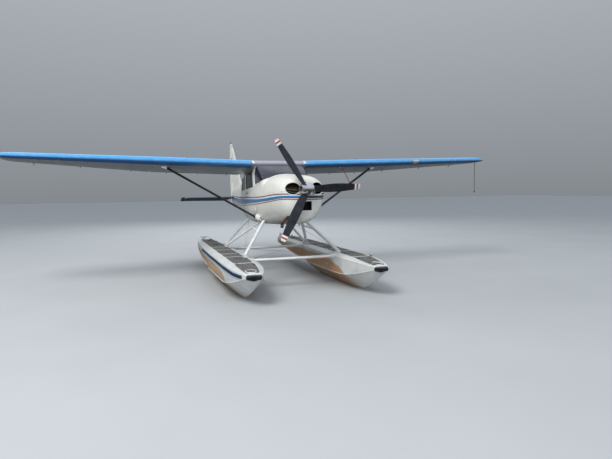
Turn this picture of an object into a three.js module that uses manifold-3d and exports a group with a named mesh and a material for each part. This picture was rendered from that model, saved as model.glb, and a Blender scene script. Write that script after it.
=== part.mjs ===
// A single-engine, high-wing light aeroplane on twin floats, at full size, in millimetres.
// It is built in two frames. The floats use the part's own frame: +X to port, +Y aft, +Z up, and z = 0 at
// the keels. The airframe uses a frame of its own, with y measured aft from the firewall and z from the
// propeller's thrust line, which sits nose-up on the floats by RIG_ANGLE.
import * as THREE from "three";
import { mergeVertices } from "three/addons/utils/BufferGeometryUtils.js";
import Module from "manifold-3d";

const wasm = await Module();
wasm.setup();

// Driving dimensions
const RIG_ANGLE = 2.35; // degrees, airframe nose-up on the floats
const THRUST_HEIGHT = 1930; // thrust line at the firewall, above the keels
const BOW_Y = -1790; // front of the float hulls, from the firewall
const BUMPER_LENGTH = 65;
const RUDDER_END_Y = 6620; // aft end of the rudder, from the firewall
const GAP = 0.5; // between pieces that meet
const WALL = 30; // fuselage wall with its frames
const GLASS = 8;

const WING = { halfSpan: 5460, root: 1626, tip: 1120, kink: 2540, tipStart: 5160, leY: 630, leSweep: 95 };
const WING_Z = 616; // leading edge at the centre line
const WING_DIHEDRAL = 1.7;
const WING_INCIDENCE = 4.3; // at the root, falling outboard of the kink by the washout
const WING_WASHOUT = 2.9;
const WING_CENTRE = 555; // half width of the roof section between the panels
const SPAR_CUT = 0.728; // chord fraction where the fixed wing ends ahead of flaps and ailerons
const HINGE = 0.765; // chord fraction of the flap and aileron hinges
const FLAP = { inner: 600, outer: 2640 };
const AILERON = { inner: 2660, outer: 5145 };

const PROP_Y = -1150;
const BLADE_RADIUS = 1055;
const SPINNER_RADIUS = 128;
const SPINNER_LENGTH = 222;
const SPINNER_BASE = 95; // aft of the blades
const FIRST_BLADE_ANGLE = 122.3; // degrees from port, seen from ahead

const FLOAT_X = 1168; // centre line of each float
const DECK_Z = 660;
const ELEVATOR_DROOP = 10; // degrees, hanging as it does when parked

const colour = {
  white: new THREE.MeshStandardMaterial({ color: 0xe9eae6, roughness: 0.35, metalness: 0.0 }),
  floatWhite: new THREE.MeshStandardMaterial({ color: 0xdfe2e2, roughness: 0.45, metalness: 0.1 }),
  black: new THREE.MeshStandardMaterial({ color: 0x14171a, roughness: 0.45, metalness: 0.0 }),
  blade: new THREE.MeshStandardMaterial({ color: 0x2a2a30, roughness: 0.6, metalness: 0.0 }),
  polished: new THREE.MeshStandardMaterial({ color: 0xd8d8da, roughness: 0.12, metalness: 1.0 }),
  rubber: new THREE.MeshStandardMaterial({ color: 0x111213, roughness: 0.8, metalness: 0.0 }),
  glass: new THREE.MeshStandardMaterial({ color: 0x8f95a0, transparent: true, opacity: 0.35 }),
  cloth: new THREE.MeshStandardMaterial({ color: 0x55504a, roughness: 0.9, metalness: 0.0 }),
  panel: new THREE.MeshStandardMaterial({ color: 0x202224, roughness: 0.8, metalness: 0.0 }),
  engine: new THREE.MeshStandardMaterial({ color: 0x5d5348, roughness: 0.6, metalness: 0.6 }),
  steel: new THREE.MeshStandardMaterial({ color: 0x6b5a4c, roughness: 0.5, metalness: 0.8 }),
  rope: new THREE.MeshStandardMaterial({ color: 0x3b4048, roughness: 0.9, metalness: 0.0 }),
};

const rad = THREE.MathUtils.degToRad;
const lerp = THREE.MathUtils.lerp;

// Solids: a closed three.js geometry becomes a manifold solid for cutting and joining, and back
function solid(geometry) {
  const bare = geometry.clone();
  bare.deleteAttribute("normal");
  bare.deleteAttribute("uv");
  const merged = mergeVertices(bare, 1e-3);
  const mesh = { numProp: 3, vertProperties: merged.attributes.position.array };
  return new wasm.Manifold(new wasm.Mesh({ ...mesh, triVerts: new Uint32Array(merged.index.array) }));
}

function geometryOf(body) {
  const mesh = body.getMesh();
  const geometry = new THREE.BufferGeometry();
  const points = new Float32Array(mesh.numVert * 3);
  for (let i = 0; i < mesh.numVert; i++) {
    points.set(mesh.vertProperties.subarray(i * mesh.numProp, i * mesh.numProp + 3), i * 3);
  }
  geometry.setAttribute("position", new THREE.BufferAttribute(points, 3));
  geometry.setIndex(new THREE.BufferAttribute(new Uint32Array(mesh.triVerts), 1));
  return geometry;
}

function mirrored(body) {
  const geometry = geometryOf(body).scale(-1, 1, 1);
  const index = geometry.index.array;
  for (let i = 0; i < index.length; i += 3) [index[i + 1], index[i + 2]] = [index[i + 2], index[i + 1]];
  return solid(geometry);
}

function moved(body, x, y, z) {
  return solid(geometryOf(body).translate(x, y, z));
}

function piece(name, body, material) {
  const mesh = new THREE.Mesh(geometryOf(body), material);
  mesh.name = name;
  return mesh;
}

// A closed skin through rings of equally many [x, y, z] points, with a fan over each end
function loft(rings) {
  const count = rings[0].length;
  const points = rings.flat();
  const faces = [];
  for (let r = 0; r + 1 < rings.length; r++) {
    for (let i = 0; i < count; i++) {
      const a = r * count + i;
      const b = r * count + ((i + 1) % count);
      // the quads left and right of the centre line split along mirrored diagonals
      const starboard = points[a][0] + points[b][0] < 0;
      if (starboard) faces.push([a, b, a + count], [b, b + count, a + count]);
      else faces.push([a, b, b + count], [a, b + count, a + count]);
    }
  }
  for (const [start, flip] of [[0, true], [(rings.length - 1) * count, false]]) {
    const ring = points.slice(start, start + count);
    const centre = [0, 1, 2].map((k) => ring.reduce((sum, p) => sum + p[k], 0) / count);
    points.push(centre);
    for (let i = 0; i < count; i++) {
      const a = start + i;
      const b = start + ((i + 1) % count);
      faces.push(flip ? [b, a, points.length - 1] : [a, b, points.length - 1]);
    }
  }
  const corner = (i) => new THREE.Vector3(...points[i]);
  const volume = faces.reduce((sum, [a, b, c]) => sum + corner(a).dot(corner(b).cross(corner(c))), 0);
  const turned = volume < 0 ? faces.map(([a, b, c]) => [a, c, b]) : faces;
  const geometry = new THREE.BufferGeometry();
  geometry.setAttribute("position", new THREE.Float32BufferAttribute(points.flat(), 3));
  geometry.setIndex(turned.flat());
  return solid(geometry);
}

function box(x0, x1, y0, y1, z0, z1) {
  const geometry = new THREE.BoxGeometry(x1 - x0, y1 - y0, z1 - z0);
  return solid(geometry.translate((x0 + x1) / 2, (y0 + y1) / 2, (z0 + z1) / 2));
}

// A prism between x0 and x1 whose outline is given as [y, z] corners
function sidePrism(outline, x0, x1) {
  const shape = new THREE.Shape(outline.map(([y, z]) => new THREE.Vector2(y, z)));
  const geometry = new THREE.ExtrudeGeometry(shape, { depth: x1 - x0, bevelEnabled: false });
  const axes = new THREE.Matrix4().makeBasis(
    new THREE.Vector3(0, 1, 0),
    new THREE.Vector3(0, 0, 1),
    new THREE.Vector3(1, 0, 0),
  );
  return solid(geometry.applyMatrix4(axes).translate(x0, 0, 0));
}

// The outline moved inwards by a distance, each corner along its bisector
function inset(outline, distance) {
  const count = outline.length;
  const area = outline.reduce((sum, [y, z], i) => {
    const [y2, z2] = outline[(i + 1) % count];
    return sum + y * z2 - y2 * z;
  }, 0);
  const side = Math.sign(area);
  return outline.map((corner, i) => {
    const before = outline[(i + count - 1) % count];
    const after = outline[(i + 1) % count];
    const a = new THREE.Vector2(corner[0] - before[0], corner[1] - before[1]).normalize();
    const b = new THREE.Vector2(after[0] - corner[0], after[1] - corner[1]).normalize();
    const normalA = new THREE.Vector2(-a.y, a.x).multiplyScalar(side);
    const normalB = new THREE.Vector2(-b.y, b.x).multiplyScalar(side);
    const bisector = normalA.clone().add(normalB);
    const scale = distance / (bisector.lengthSq() / 2);
    return [corner[0] + bisector.x * scale, corner[1] + bisector.y * scale];
  });
}

function cylinder(from, to, radius, sides = 20, endRadius = radius) {
  const a = new THREE.Vector3(...from);
  const b = new THREE.Vector3(...to);
  const axis = b.clone().sub(a);
  const geometry = new THREE.CylinderGeometry(endRadius, radius, axis.length(), sides);
  geometry.translate(0, axis.length() / 2, 0);
  const turn = new THREE.Quaternion().setFromUnitVectors(new THREE.Vector3(0, 1, 0), axis.normalize());
  return solid(geometry.applyQuaternion(turn).translate(a.x, a.y, a.z));
}

// A streamlined tube: an ellipse with its long axis along the airflow, from one point to another
function fairedTube(from, to, chord, thickness, sides = 14) {
  const a = new THREE.Vector3(...from);
  const b = new THREE.Vector3(...to);
  const axis = b.clone().sub(a).normalize();
  const flow = new THREE.Vector3(0, 1, 0).addScaledVector(axis, -axis.y).normalize();
  const across = new THREE.Vector3().crossVectors(axis, flow);
  const ring = (centre) =>
    Array.from({ length: sides }, (_, i) => {
      const angle = (2 * Math.PI * i) / sides;
      const p = centre.clone().addScaledVector(flow, (chord / 2) * Math.cos(angle));
      return p.addScaledVector(across, (thickness / 2) * Math.sin(angle)).toArray();
    });
  return loft([ring(a), ring(b)]);
}

// Fuselage: sections of the cowling, cabin and tail cone as rounded ellipses
// columns: y, top z, bottom z, half width, z of the widest line, roundness above, roundness below
const COWL_SECTIONS = [
  [-1030, 168, -430, 240, -20, 2.0, 2.0],
  [-1018, 205, -500, 310, -20, 2.0, 2.0],
  [-975, 238, -556, 372, -15, 2.1, 2.0],
  [-890, 264, -600, 418, -10, 2.1, 2.1],
  [-740, 290, -632, 455, -5, 2.2, 2.2],
  [-400, 324, -655, 500, 0, 2.3, 2.4],
  [-3, 355, -664, 532, 0, 2.3, 2.7],
];
// the fuselage from the firewall aft, up to the deck that the windscreen stands on
const DECK_SECTIONS = [
  [0, 355, -664, 532, 0, 2.3, 2.7],
  [140, 364, -666, 541, 0, 2.3, 2.9],
  [310, 369, -667, 552, 0, 2.6, 3.3],
  [500, 371, -667, 558, 0, 2.8, 3.8],
  [680, 372, -666, 561, 0, 2.9, 4.2],
  [1250, 372, -660, 562, 0, 3.4, 4.4],
  [1650, 372, -645, 558, 0, 3.4, 4.2],
  [2050, 372, -612, 536, 0, 3.4, 4.0],
  [2450, 372, -560, 492, 0, 3.4, 3.8],
];
// the windscreen, cabin top and what is behind them, standing on that deck
const UPPER_SECTIONS = [
  [56, 362, -150, 130, 0, 2.0, 2.0],
  [96, 384, -150, 490, 0, 2.3, 2.0],
  [140, 405, -150, 524, 0, 3.4, 2.0],
  [310, 470, -150, 543, 0, 6.0, 2.0],
  [500, 554, -150, 552, 0, 10.0, 2.0],
  [640, 610, -150, 559, 0, 13.0, 2.0],
  [900, 650, -150, 562, 0, 13.0, 2.0],
  [1250, 640, -150, 562, 0, 12.0, 2.0],
  [1650, 600, -150, 558, 0, 10.0, 2.0],
  [2050, 545, -150, 536, 0, 7.0, 2.0],
  [2450, 488, -150, 492, 0, 4.6, 2.0],
];
const TAIL_SECTIONS = [
  [2450, 488, -560, 492, 0, 4.2, 3.8],
  [3200, 452, -440, 376, 5, 3.4, 3.2],
  [4200, 404, -304, 252, 30, 2.9, 2.7],
  [5200, 352, -206, 158, 60, 2.5, 2.4],
  [5900, 314, -158, 98, 70, 2.3, 2.2],
  [6120, 292, -142, 62, 70, 2.2, 2.2],
];
const RING_POINTS = 36;

function fuselageRing([y, top, bottom, half, middle, roundTop, roundBottom], grow) {
  return Array.from({ length: RING_POINTS }, (_, i) => {
    const angle = (2 * Math.PI * (i + 0.5)) / RING_POINTS;
    const power = 2 / (angle < Math.PI ? roundTop : roundBottom);
    const reach = angle < Math.PI ? top - middle + grow : middle - bottom + grow;
    const c = Math.cos(angle);
    const s = Math.sin(angle);
    return [
      (half + grow) * Math.sign(c) * Math.abs(c) ** power,
      y,
      middle + reach * Math.sign(s) * Math.abs(s) ** power,
    ];
  });
}

// The sections grown by a distance (inwards if negative), with the two ends moved along y
function fuselageLoft(sections, grow = 0, frontShift = 0, backShift = 0) {
  const last = sections.length - 1;
  return loft(
    sections.map((row, i) => {
      const shift = i === 0 ? frontShift : i === last ? backShift : 0;
      return fuselageRing([row[0] + shift, ...row.slice(1)], grow);
    }),
  );
}

// Wing section: the 12% thick, 2% cambered aerofoil, as heights above and below the chord line
function aerofoil(t) {
  const rear = -0.126 * t - 0.3516 * t ** 2 + 0.2843 * t ** 3 - 0.1015 * t ** 4;
  const half = 0.6 * (0.2969 * Math.sqrt(t) + rear);
  const camber = t < 0.4 ? 0.125 * (0.8 * t - t ** 2) : (0.02 / 0.36) * (0.2 + 0.8 * t - t ** 2);
  return { upper: camber + half, lower: camber - half, middle: camber, half };
}

function chordAt(x) {
  return lerp(WING.root, WING.tip, Math.max(0, (x - WING.kink) / (WING.tipStart - WING.kink)));
}

// A point of the wing: span station x, chord fraction t, and height h as a fraction of the chord
function wingPoint(x, t, h, chord = chordAt(x), leadShift = 0) {
  const sweep = WING.leSweep * Math.max(0, (x - WING.kink) / (WING.tipStart - WING.kink));
  const twist = Math.max(0, (x - WING.kink) / (WING.tipStart - WING.kink));
  const angle = rad(WING_INCIDENCE - WING_WASHOUT * twist);
  return [
    x,
    WING.leY + sweep + leadShift + chord * (t * Math.cos(angle) + h * Math.sin(angle)),
    WING_Z + x * Math.tan(rad(WING_DIHEDRAL)) + chord * (h * Math.cos(angle) - t * Math.sin(angle)),
  ];
}

const NOSE_STEPS = [0, 0.006, 0.025, 0.06, 0.12, 0.2, 0.32, 0.46, 0.6];

function wingRing(x, end, chord, leadShift, flatten = 1) {
  const steps = [...NOSE_STEPS, end];
  const at = (t, height) => wingPoint(x, t, height * flatten, chord, leadShift);
  const upper = steps.slice().reverse().map((t) => at(t, aerofoil(t).upper));
  const lower = steps.slice(1).map((t) => at(t, aerofoil(t).lower));
  return [...upper, ...lower];
}

function hingePoint(x) {
  return wingPoint(x, HINGE, aerofoil(HINGE).middle);
}

// A flap or aileron section: a round nose about the hinge, and the rest of the aerofoil behind it
function surfaceRing(x) {
  const radius = aerofoil(HINGE).half * 0.98;
  const middle = aerofoil(HINGE).middle;
  const nose = [90, 120, 150, 180, 210, 240, 270].map((degrees) =>
    wingPoint(x, HINGE + radius * Math.cos(rad(degrees)), middle + radius * Math.sin(rad(degrees))),
  );
  // columns: chord fraction, extra half thickness that keeps the trailing edge blunt
  const tail = [[0.88, 0], [0.995, 0.0008]];
  const lower = tail.map(([t, extra]) => wingPoint(x, t, aerofoil(t).lower - extra));
  const upper = tail.slice().reverse().map(([t, extra]) => wingPoint(x, t, aerofoil(t).upper + extra));
  return [...nose, ...lower, ...upper];
}

const airframe = new THREE.Group();
airframe.name = "airframe";
const floats = new THREE.Group();
floats.name = "floats";

// A group that carries one moving body, placed at its hinge, with the axis kept beside it
function hinged(name, parent, origin, axis) {
  const group = new THREE.Group();
  group.name = name;
  group.position.set(...origin);
  group.userData.axis = axis;
  parent.add(group);
  return group;
}

function addMoving(group, ...meshes) {
  for (const mesh of meshes) {
    mesh.position.copy(group.position).negate();
    group.add(mesh);
  }
}

function direction(from, to) {
  return new THREE.Vector3(...to).sub(new THREE.Vector3(...from)).normalize().toArray();
}

// Engine compartment: a hollow cowling with two cooling inlets and a carburettor intake
const INLET = { x: 234, z: 19, halfWidth: 138, halfHeight: 114 };
const INTAKE = { halfWidth: 122, low: -392, high: -214 };

function ovalCutter(x) {
  const oval = new THREE.CylinderGeometry(1, 1, 420, 28).scale(INLET.halfWidth, 1, INLET.halfHeight);
  return solid(oval.translate(x, -1030, INLET.z));
}

function buildCowling() {
  let shell = fuselageLoft(COWL_SECTIONS).subtract(fuselageLoft(COWL_SECTIONS, -25, 22, 40));
  shell = shell.subtract(ovalCutter(INLET.x)).subtract(ovalCutter(-INLET.x));
  shell = shell.subtract(box(-INTAKE.halfWidth, INTAKE.halfWidth, -1100, -900, INTAKE.low, INTAKE.high));
  return shell.subtract(cylinder([0, -1100, 0], [0, -980, 0], 70));
}

function buildEngine() {
  const block = box(-300, 300, -790, -70, -205, 165);
  return block.add(cylinder([0, -780, 0], [0, PROP_Y + SPINNER_BASE + 5, 0], 45));
}

// the tail pipe leaves the cowling low on the starboard side and turns down
const PIPE = {
  start: [-240, -870, -455],
  bend: [-335, -600, -622],
  end: [-338, -585, -708],
  radius: 30,
  bore: 25,
};
function buildExhaust() {
  const knee = solid(new THREE.SphereGeometry(PIPE.radius, 18, 12).translate(...PIPE.bend));
  const first = cylinder(PIPE.start, PIPE.bend, PIPE.radius, 18);
  const second = cylinder(PIPE.bend, PIPE.end, PIPE.radius, 18);
  const beyond = PIPE.end.map((v, i) => lerp(PIPE.bend[i], v, 1.1));
  const bore = cylinder(PIPE.bend, beyond, PIPE.bore, 18);
  return first.add(knee).add(second).subtract(bore).subtract(fuselageLoft(COWL_SECTIONS, GAP));
}

airframe.add(piece("cowling", buildCowling(), colour.white));
airframe.add(piece("engine_block", buildEngine(), colour.engine));
airframe.add(piece("exhaust_pipe", buildExhaust(), colour.steel));

// Wing: a centre section that is the cabin's roof, and one panel each side with its tip
function buildWingCentre(half) {
  const ring = (x) => wingRing(WING_CENTRE, 1, WING.root, 0).map(([, y, z]) => [x, y, z]);
  return loft([ring(-half), ring(half)]);
}

// The same body grown by a gap upwards, downwards, forwards and aft
function swollen(body, gap) {
  const copies = [[0, gap, 0], [0, -gap, 0], [0, 0, gap], [0, 0, -gap]].map((shift) => moved(body, ...shift));
  return copies.reduce((whole, copy) => whole.add(copy));
}

function buildWingPanel() {
  const main = [WING_CENTRE + GAP, WING.kink, WING.tipStart].map((x) => wingRing(x, SPAR_CUT, chordAt(x), 0));
  // columns: station, chord, shift of the leading edge, thickness factor
  const tipTable = [
    [WING.tipStart - 10, WING.tip, 0, 1],
    [5290, 1075, 12, 0.96],
    [5390, 930, 70, 0.8],
    [WING.halfSpan, 560, 260, 0.45],
  ];
  const tip = loft(tipTable.map(([x, chord, shift, flat]) => wingRing(x, 0.995, chord, shift, flat)));
  return loft(main).add(tip);
}

const panelLeft = buildWingPanel();
airframe.add(piece("wing_centre", buildWingCentre(WING_CENTRE), colour.white));
airframe.add(piece("wing_left", panelLeft, colour.white));
airframe.add(piece("wing_right", mirrored(panelLeft), colour.white));

for (const [name, span, material] of [["flap", FLAP, colour.white], ["aileron", AILERON, colour.white]]) {
  const body = loft([surfaceRing(span.inner), surfaceRing(span.outer)]);
  const inner = hingePoint(span.inner);
  const outer = hingePoint(span.outer);
  const left = hinged(`${name}_left`, airframe, inner, direction(inner, outer));
  addMoving(left, piece(`${name}_left`, body, material));
  const mirrorOf = ([x, y, z]) => [-x, y, z];
  const axisRight = direction(mirrorOf(outer), mirrorOf(inner));
  const right = hinged(`${name}_right`, airframe, mirrorOf(inner), axisRight);
  addMoving(right, piece(`${name}_right`, mirrored(body), material));
}

// Cabin: hollow, made of the panels that the real one is made of, with its doors and windows cut
const CABIN_END = 2450;
const FLOOR_Z = -555;
const WINDSCREEN = [
  [20, 360],
  [140, 248],
  [310, 200],
  [668, 182],
  [680, 380],
  [612, 560],
  [612, 800],
  [20, 800],
];
const DOOR = [[745, -455], [1595, -455], [1595, 330], [1510, 474], [858, 500], [745, 300]];
const DOOR_WINDOW = [[842, 140], [1538, 134], [1538, 322], [1474, 446], [900, 470]];
const QUARTER_WINDOW = [[1690, 128], [2190, 112], [2146, 318], [2050, 400], [1690, 424]];

function cabinSolid(grow, front, back) {
  const lower = fuselageLoft(DECK_SECTIONS, grow, front, back);
  return lower.add(fuselageLoft(UPPER_SECTIONS, grow, grow < 0 ? 12 : 0, back));
}

const cabinOuter = cabinSolid(0, 0, 0);
const deckClearance = fuselageLoft(DECK_SECTIONS, GAP, -1, 1);
const cabinHollow = cabinSolid(-WALL, 22, -22);
const glassShell = cabinOuter.subtract(cabinSolid(-GLASS, -5, 5));
const roofClearance = swollen(buildWingCentre(700), GAP);
const acrossCabin = (outline) => sidePrism(outline, -700, 700);

function glazing(outline, x0, x1) {
  return glassShell.intersect(sidePrism(inset(outline, GAP), x0, x1)).subtract(roofClearance);
}

function buildCabinShell() {
  const floor = cabinOuter.intersect(box(-600, 600, 0, CABIN_END, -700, FLOOR_Z));
  const shell = cabinOuter.subtract(cabinHollow).add(floor).subtract(roofClearance);
  const openings = acrossCabin(WINDSCREEN).subtract(fuselageLoft(DECK_SECTIONS, 0, -1, 1));
  return shell.subtract(openings).subtract(acrossCabin(DOOR)).subtract(acrossCabin(QUARTER_WINDOW));
}

const FIREWALL = 22;
const REAR_RING_Y = 2262;
// columns: name, x from and to, y from and to, z from and to
const CABIN_PANELS = [
  ["firewall", -700, 700, -10, FIREWALL, -700, 700],
  ["belly_pan", -700, 700, FIREWALL, REAR_RING_Y, -700, FLOOR_Z],
  ["windscreen_deck", -700, 700, FIREWALL, 690, 150, 700],
  ["cabin_side_left", 0, 700, FIREWALL, REAR_RING_Y, FLOOR_Z, 700],
  ["cabin_side_right", -700, 0, FIREWALL, REAR_RING_Y, FLOOR_Z, 700],
  ["cabin_rear", -700, 700, REAR_RING_Y, CABIN_END + 10, -700, 700],
];
let uncut = buildCabinShell();
for (const [name, x0, x1, y0, y1, z0, z1] of CABIN_PANELS) {
  airframe.add(piece(name, uncut.intersect(box(x0, x1, y0, y1, z0, z1)), colour.white));
  uncut = uncut.subtract(box(x0 - GAP, x1 + GAP, y0 - GAP, y1 + GAP, z0 - GAP, z1 + GAP));
}

airframe.add(piece("windscreen", glazing(WINDSCREEN, -700, 700).subtract(deckClearance), colour.glass));
airframe.add(piece("quarter_window_left", glazing(QUARTER_WINDOW, 300, 700), colour.glass));
airframe.add(piece("quarter_window_right", glazing(QUARTER_WINDOW, -700, -300), colour.glass));

const DOOR_GAP = 8;
const doorShell = cabinOuter.subtract(cabinSolid(-WALL - 5, -5, 5));
const doorLeft = doorShell
  .intersect(sidePrism(inset(DOOR, DOOR_GAP), 300, 700))
  .subtract(sidePrism(DOOR_WINDOW, 300, 700));
const doorGlass = glazing(DOOR_WINDOW, 300, 700);
const DOOR_HINGE = [572, 741, 0];
for (const [side, sign] of [["left", 1], ["right", -1]]) {
  const origin = [sign * DOOR_HINGE[0], DOOR_HINGE[1], DOOR_HINGE[2]];
  const group = hinged(`door_${side}`, airframe, origin, [0, 0, -sign]);
  const pick = (body) => (sign > 0 ? body : mirrored(body));
  addMoving(
    group,
    piece(`door_${side}`, pick(doorLeft), colour.white),
    piece(`door_window_${side}`, pick(doorGlass), colour.glass),
  );
}

// Inside: seats, rear bench and instrument panel
function buildSeat(x0, x1, y0, y1, margin) {
  const base = box(x0 + margin, x1 - margin, y0 + 30, y1 - 90, FLOOR_Z + GAP, -330);
  const cushion = box(x0, x1, y0, y1, -335, -215);
  const outline = [[y1 - 110, -300], [y1, -300], [y1 + 95, 290], [y1 + 25, 290]];
  return base.add(cushion).add(sidePrism(outline, x0 + 5, x1 - 5));
}

airframe.add(piece("seat_left", buildSeat(60, 470, 1000, 1450, 70), colour.cloth));
airframe.add(piece("seat_right", buildSeat(-470, -60, 1000, 1450, 70), colour.cloth));
airframe.add(piece("rear_bench", buildSeat(-400, 400, 1740, 2140, 120), colour.cloth));
const PANEL = [[300, -60], [350, -60], [350, 240], [420, 300], [200, 350], [200, 310], [300, 270]];
const panelRoom = cabinSolid(-WALL - 4, 60, -60);
airframe.add(piece("instrument_panel", sidePrism(PANEL, -470, 470).intersect(panelRoom), colour.panel));

// Tail cone, fin and stabiliser
const ELEVATOR_HINGE = [0, 6018, 52];
const tailOuter = fuselageLoft(TAIL_SECTIONS, 0, GAP);
const tailClearance = fuselageLoft(TAIL_SECTIONS, GAP, 0, GAP);

function buildTailCone() {
  const shell = tailOuter.subtract(fuselageLoft(TAIL_SECTIONS, -20, -20, -20));
  const [, hingeY, hingeZ] = ELEVATOR_HINGE;
  return shell.subtract(cylinder([-200, hingeY, hingeZ], [200, hingeY, hingeZ], 27));
}

// A thin symmetrical section from a leading edge to a trailing edge, with its thickness across
const FIN_PROFILE = [[0, 0], [0.04, 0.42], [0.16, 0.82], [0.36, 1], [0.7, 0.82], [1, 0.5]];
function symmetricRing(front, back, thickness, place) {
  const side = (rows, sign) => rows.map(([t, h]) => place(lerp(front, back, t), (sign * h * thickness) / 2));
  const upper = side(FIN_PROFILE, 1);
  const lower = side(FIN_PROFILE.slice(1).reverse(), -1);
  return [...upper, ...lower];
}

const RUDDER_HINGE = { bottom: [0, 6168, -130], top: [0, 6192, 1640] };
const rudderHingeY = (z) => lerp(RUDDER_HINGE.bottom[1], RUDDER_HINGE.top[1], (z + 130) / 1770);
const RUDDER_NOSE = 21;

function buildFin() {
  // columns: z, leading edge y, thickness
  const table = [
    [240, 4150, 40],
    [400, 4640, 52],
    [520, 4850, 62],
    [760, 5090, 70],
    [1200, 5540, 60],
    [1560, 5920, 48],
    [1645, 6030, 40],
  ];
  const rings = table.map(([z, front, thickness]) =>
    symmetricRing(front, rudderHingeY(z) - RUDDER_NOSE - 8, thickness, (y, x) => [x, y, z]),
  );
  return loft(rings).subtract(tailClearance);
}

// A hinged tail surface section: a round nose about the hinge and a taper to the trailing edge
function taperRing(hinge, back, radius, place) {
  const nose = [100, 130, 155, 180, 205, 230, 260].map((degrees) =>
    place(hinge + radius * Math.cos(rad(degrees)), radius * Math.sin(rad(degrees))),
  );
  return [...nose, place(back, -3), place(back, 3)];
}

function buildRudder() {
  // columns: z, trailing edge y
  const table = [
    [-130, 6400],
    [-60, 6490],
    [60, 6560],
    [300, 6610],
    [620, RUDDER_END_Y],
    [1200, 6595],
    [1640, 6560],
  ];
  const ring = (z, back, radius) => taperRing(rudderHingeY(z), back, radius, (y, x) => [x, y, z]);
  const rings = table.map(([z, back]) => ring(z, back, RUDDER_NOSE));
  // columns: z, front y, back y, thickness
  const horn = [
    [1662, 6020, 6556, 40],
    [1740, 6075, 6530, 36],
    [1788, 6180, 6470, 24],
    [1802, 6260, 6400, 10],
  ];
  const cap = horn.map(([z, front, back, thickness]) =>
    symmetricRing(front, back, thickness, (y, x) => [x, y, z]),
  );
  const neck = loft([1630, 1668].map((z) => ring(z, 6557, RUDDER_NOSE - 1)));
  return loft(rings).add(neck).add(loft(cap));
}

const STAB = { tip: 1520, rootLead: 5250, tipLead: 5430, z: ELEVATOR_HINGE[2] };
const ELEVATOR = { inner: 125, tip: 1640, nose: 15, rootBack: 6440, tipBack: 6370, hornFront: 5810 };

function buildStabiliser() {
  const back = ELEVATOR_HINGE[1] - ELEVATOR.nose - 8;
  // columns: station, leading edge y, thickness
  const table = [[30, STAB.rootLead, 64], [1250, 5400, 56], [1450, 5445, 48], [STAB.tip, 5530, 30]];
  const rings = table.map(([x, front, thickness]) =>
    symmetricRing(front, back, thickness, (y, z) => [x, y, STAB.z + z]),
  );
  return loft(rings).subtract(tailClearance);
}

function buildElevator() {
  const backAt = (x) => lerp(ELEVATOR.rootBack, ELEVATOR.tipBack, x / ELEVATOR.tip);
  const [, hingeY, hingeZ] = ELEVATOR_HINGE;
  const ring = (x) => taperRing(hingeY, backAt(x), ELEVATOR.nose, (y, z) => [x, y, hingeZ + z]);
  // the inner corner is cut away to make room for the rudder: [x, y]
  const cutaway = [[0, hingeY + 12], [125, hingeY + 12], [245, 6600], [0, 6600]];
  const shape = new THREE.Shape(cutaway.map(([x, y]) => new THREE.Vector2(x, y)));
  const corner = new THREE.ExtrudeGeometry(shape, { depth: 300, bevelEnabled: false });
  const uncutHalf = loft([ring(ELEVATOR.inner), ring(1550)]);
  const main = uncutHalf.subtract(solid(corner.translate(0, 0, hingeZ - 150)));
  // columns: station, front y, back y, thickness
  const hornTable = [
    [1532, ELEVATOR.hornFront, 6378, 30],
    [1615, ELEVATOR.hornFront + 15, 6372, 26],
    [ELEVATOR.tip, 5880, 6330, 16],
  ];
  const horn = loft(
    hornTable.map(([x, front, back, thickness]) =>
      symmetricRing(front, back, thickness, (y, z) => [x, y, hingeZ + z]),
    ),
  );
  const half = main.add(horn);
  const tube = cylinder([-140, hingeY, hingeZ], [140, hingeY, hingeZ], 17, 14);
  const level = geometryOf(half.add(mirrored(half)).add(tube));
  level.translate(0, -hingeY, -hingeZ).rotateX(rad(-ELEVATOR_DROOP)).translate(0, hingeY, hingeZ);
  return solid(level);
}

airframe.add(piece("tail_cone", buildTailCone(), colour.white));
airframe.add(piece("fin", buildFin(), colour.white));
airframe.add(piece("stabiliser_left", buildStabiliser(), colour.white));
airframe.add(piece("stabiliser_right", mirrored(buildStabiliser()), colour.white));
const elevator = hinged("elevator", airframe, ELEVATOR_HINGE, [1, 0, 0]);
addMoving(elevator, piece("elevator", buildElevator(), colour.white));
const rudderAxis = direction(RUDDER_HINGE.bottom, RUDDER_HINGE.top);
const rudder = hinged("rudder", airframe, RUDDER_HINGE.bottom, rudderAxis);
addMoving(rudder, piece("rudder", buildRudder(), colour.white));

// Wing struts, cut to the cabin side and to the underside of the wing
const STRUT = { foot: [480, 531, -570], head: [2517, 1117, 680], chord: 112, thickness: 46 };
function buildWingStrut() {
  const tube = fairedTube(STRUT.foot, STRUT.head, STRUT.chord, STRUT.thickness, 16);
  const cuff = cylinder([500, 546, -530], [584, 566, -478], 68, 16, 54);
  const whole = tube.add(cuff).subtract(deckClearance);
  return whole.subtract(moved(panelLeft, 0, 0, -GAP)).subtract(box(2000, 2900, 700, 1500, 665, 900));
}
airframe.add(piece("wing_strut_left", buildWingStrut(), colour.black));
airframe.add(piece("wing_strut_right", mirrored(buildWingStrut()), colour.black));

// Propeller: three wide blades in a polished spinner
function buildSpinner() {
  const profile = [];
  for (let i = 0; i <= 8; i++) {
    const t = i / 8;
    const radius = SPINNER_RADIUS * Math.sqrt(Math.max(0, 1 - t ** 2.1));
    profile.push(new THREE.Vector2(radius, SPINNER_LENGTH * t));
  }
  profile[8].x = 0;
  const rim = [new THREE.Vector2(0, -SPINNER_BASE), new THREE.Vector2(SPINNER_RADIUS, -SPINNER_BASE)];
  // the lathe turns about +Y, and the nose points to -Y
  const dome = new THREE.LatheGeometry([...rim, ...profile], 32).rotateX(Math.PI).translate(0, PROP_Y, 0);
  return solid(dome);
}

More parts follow.
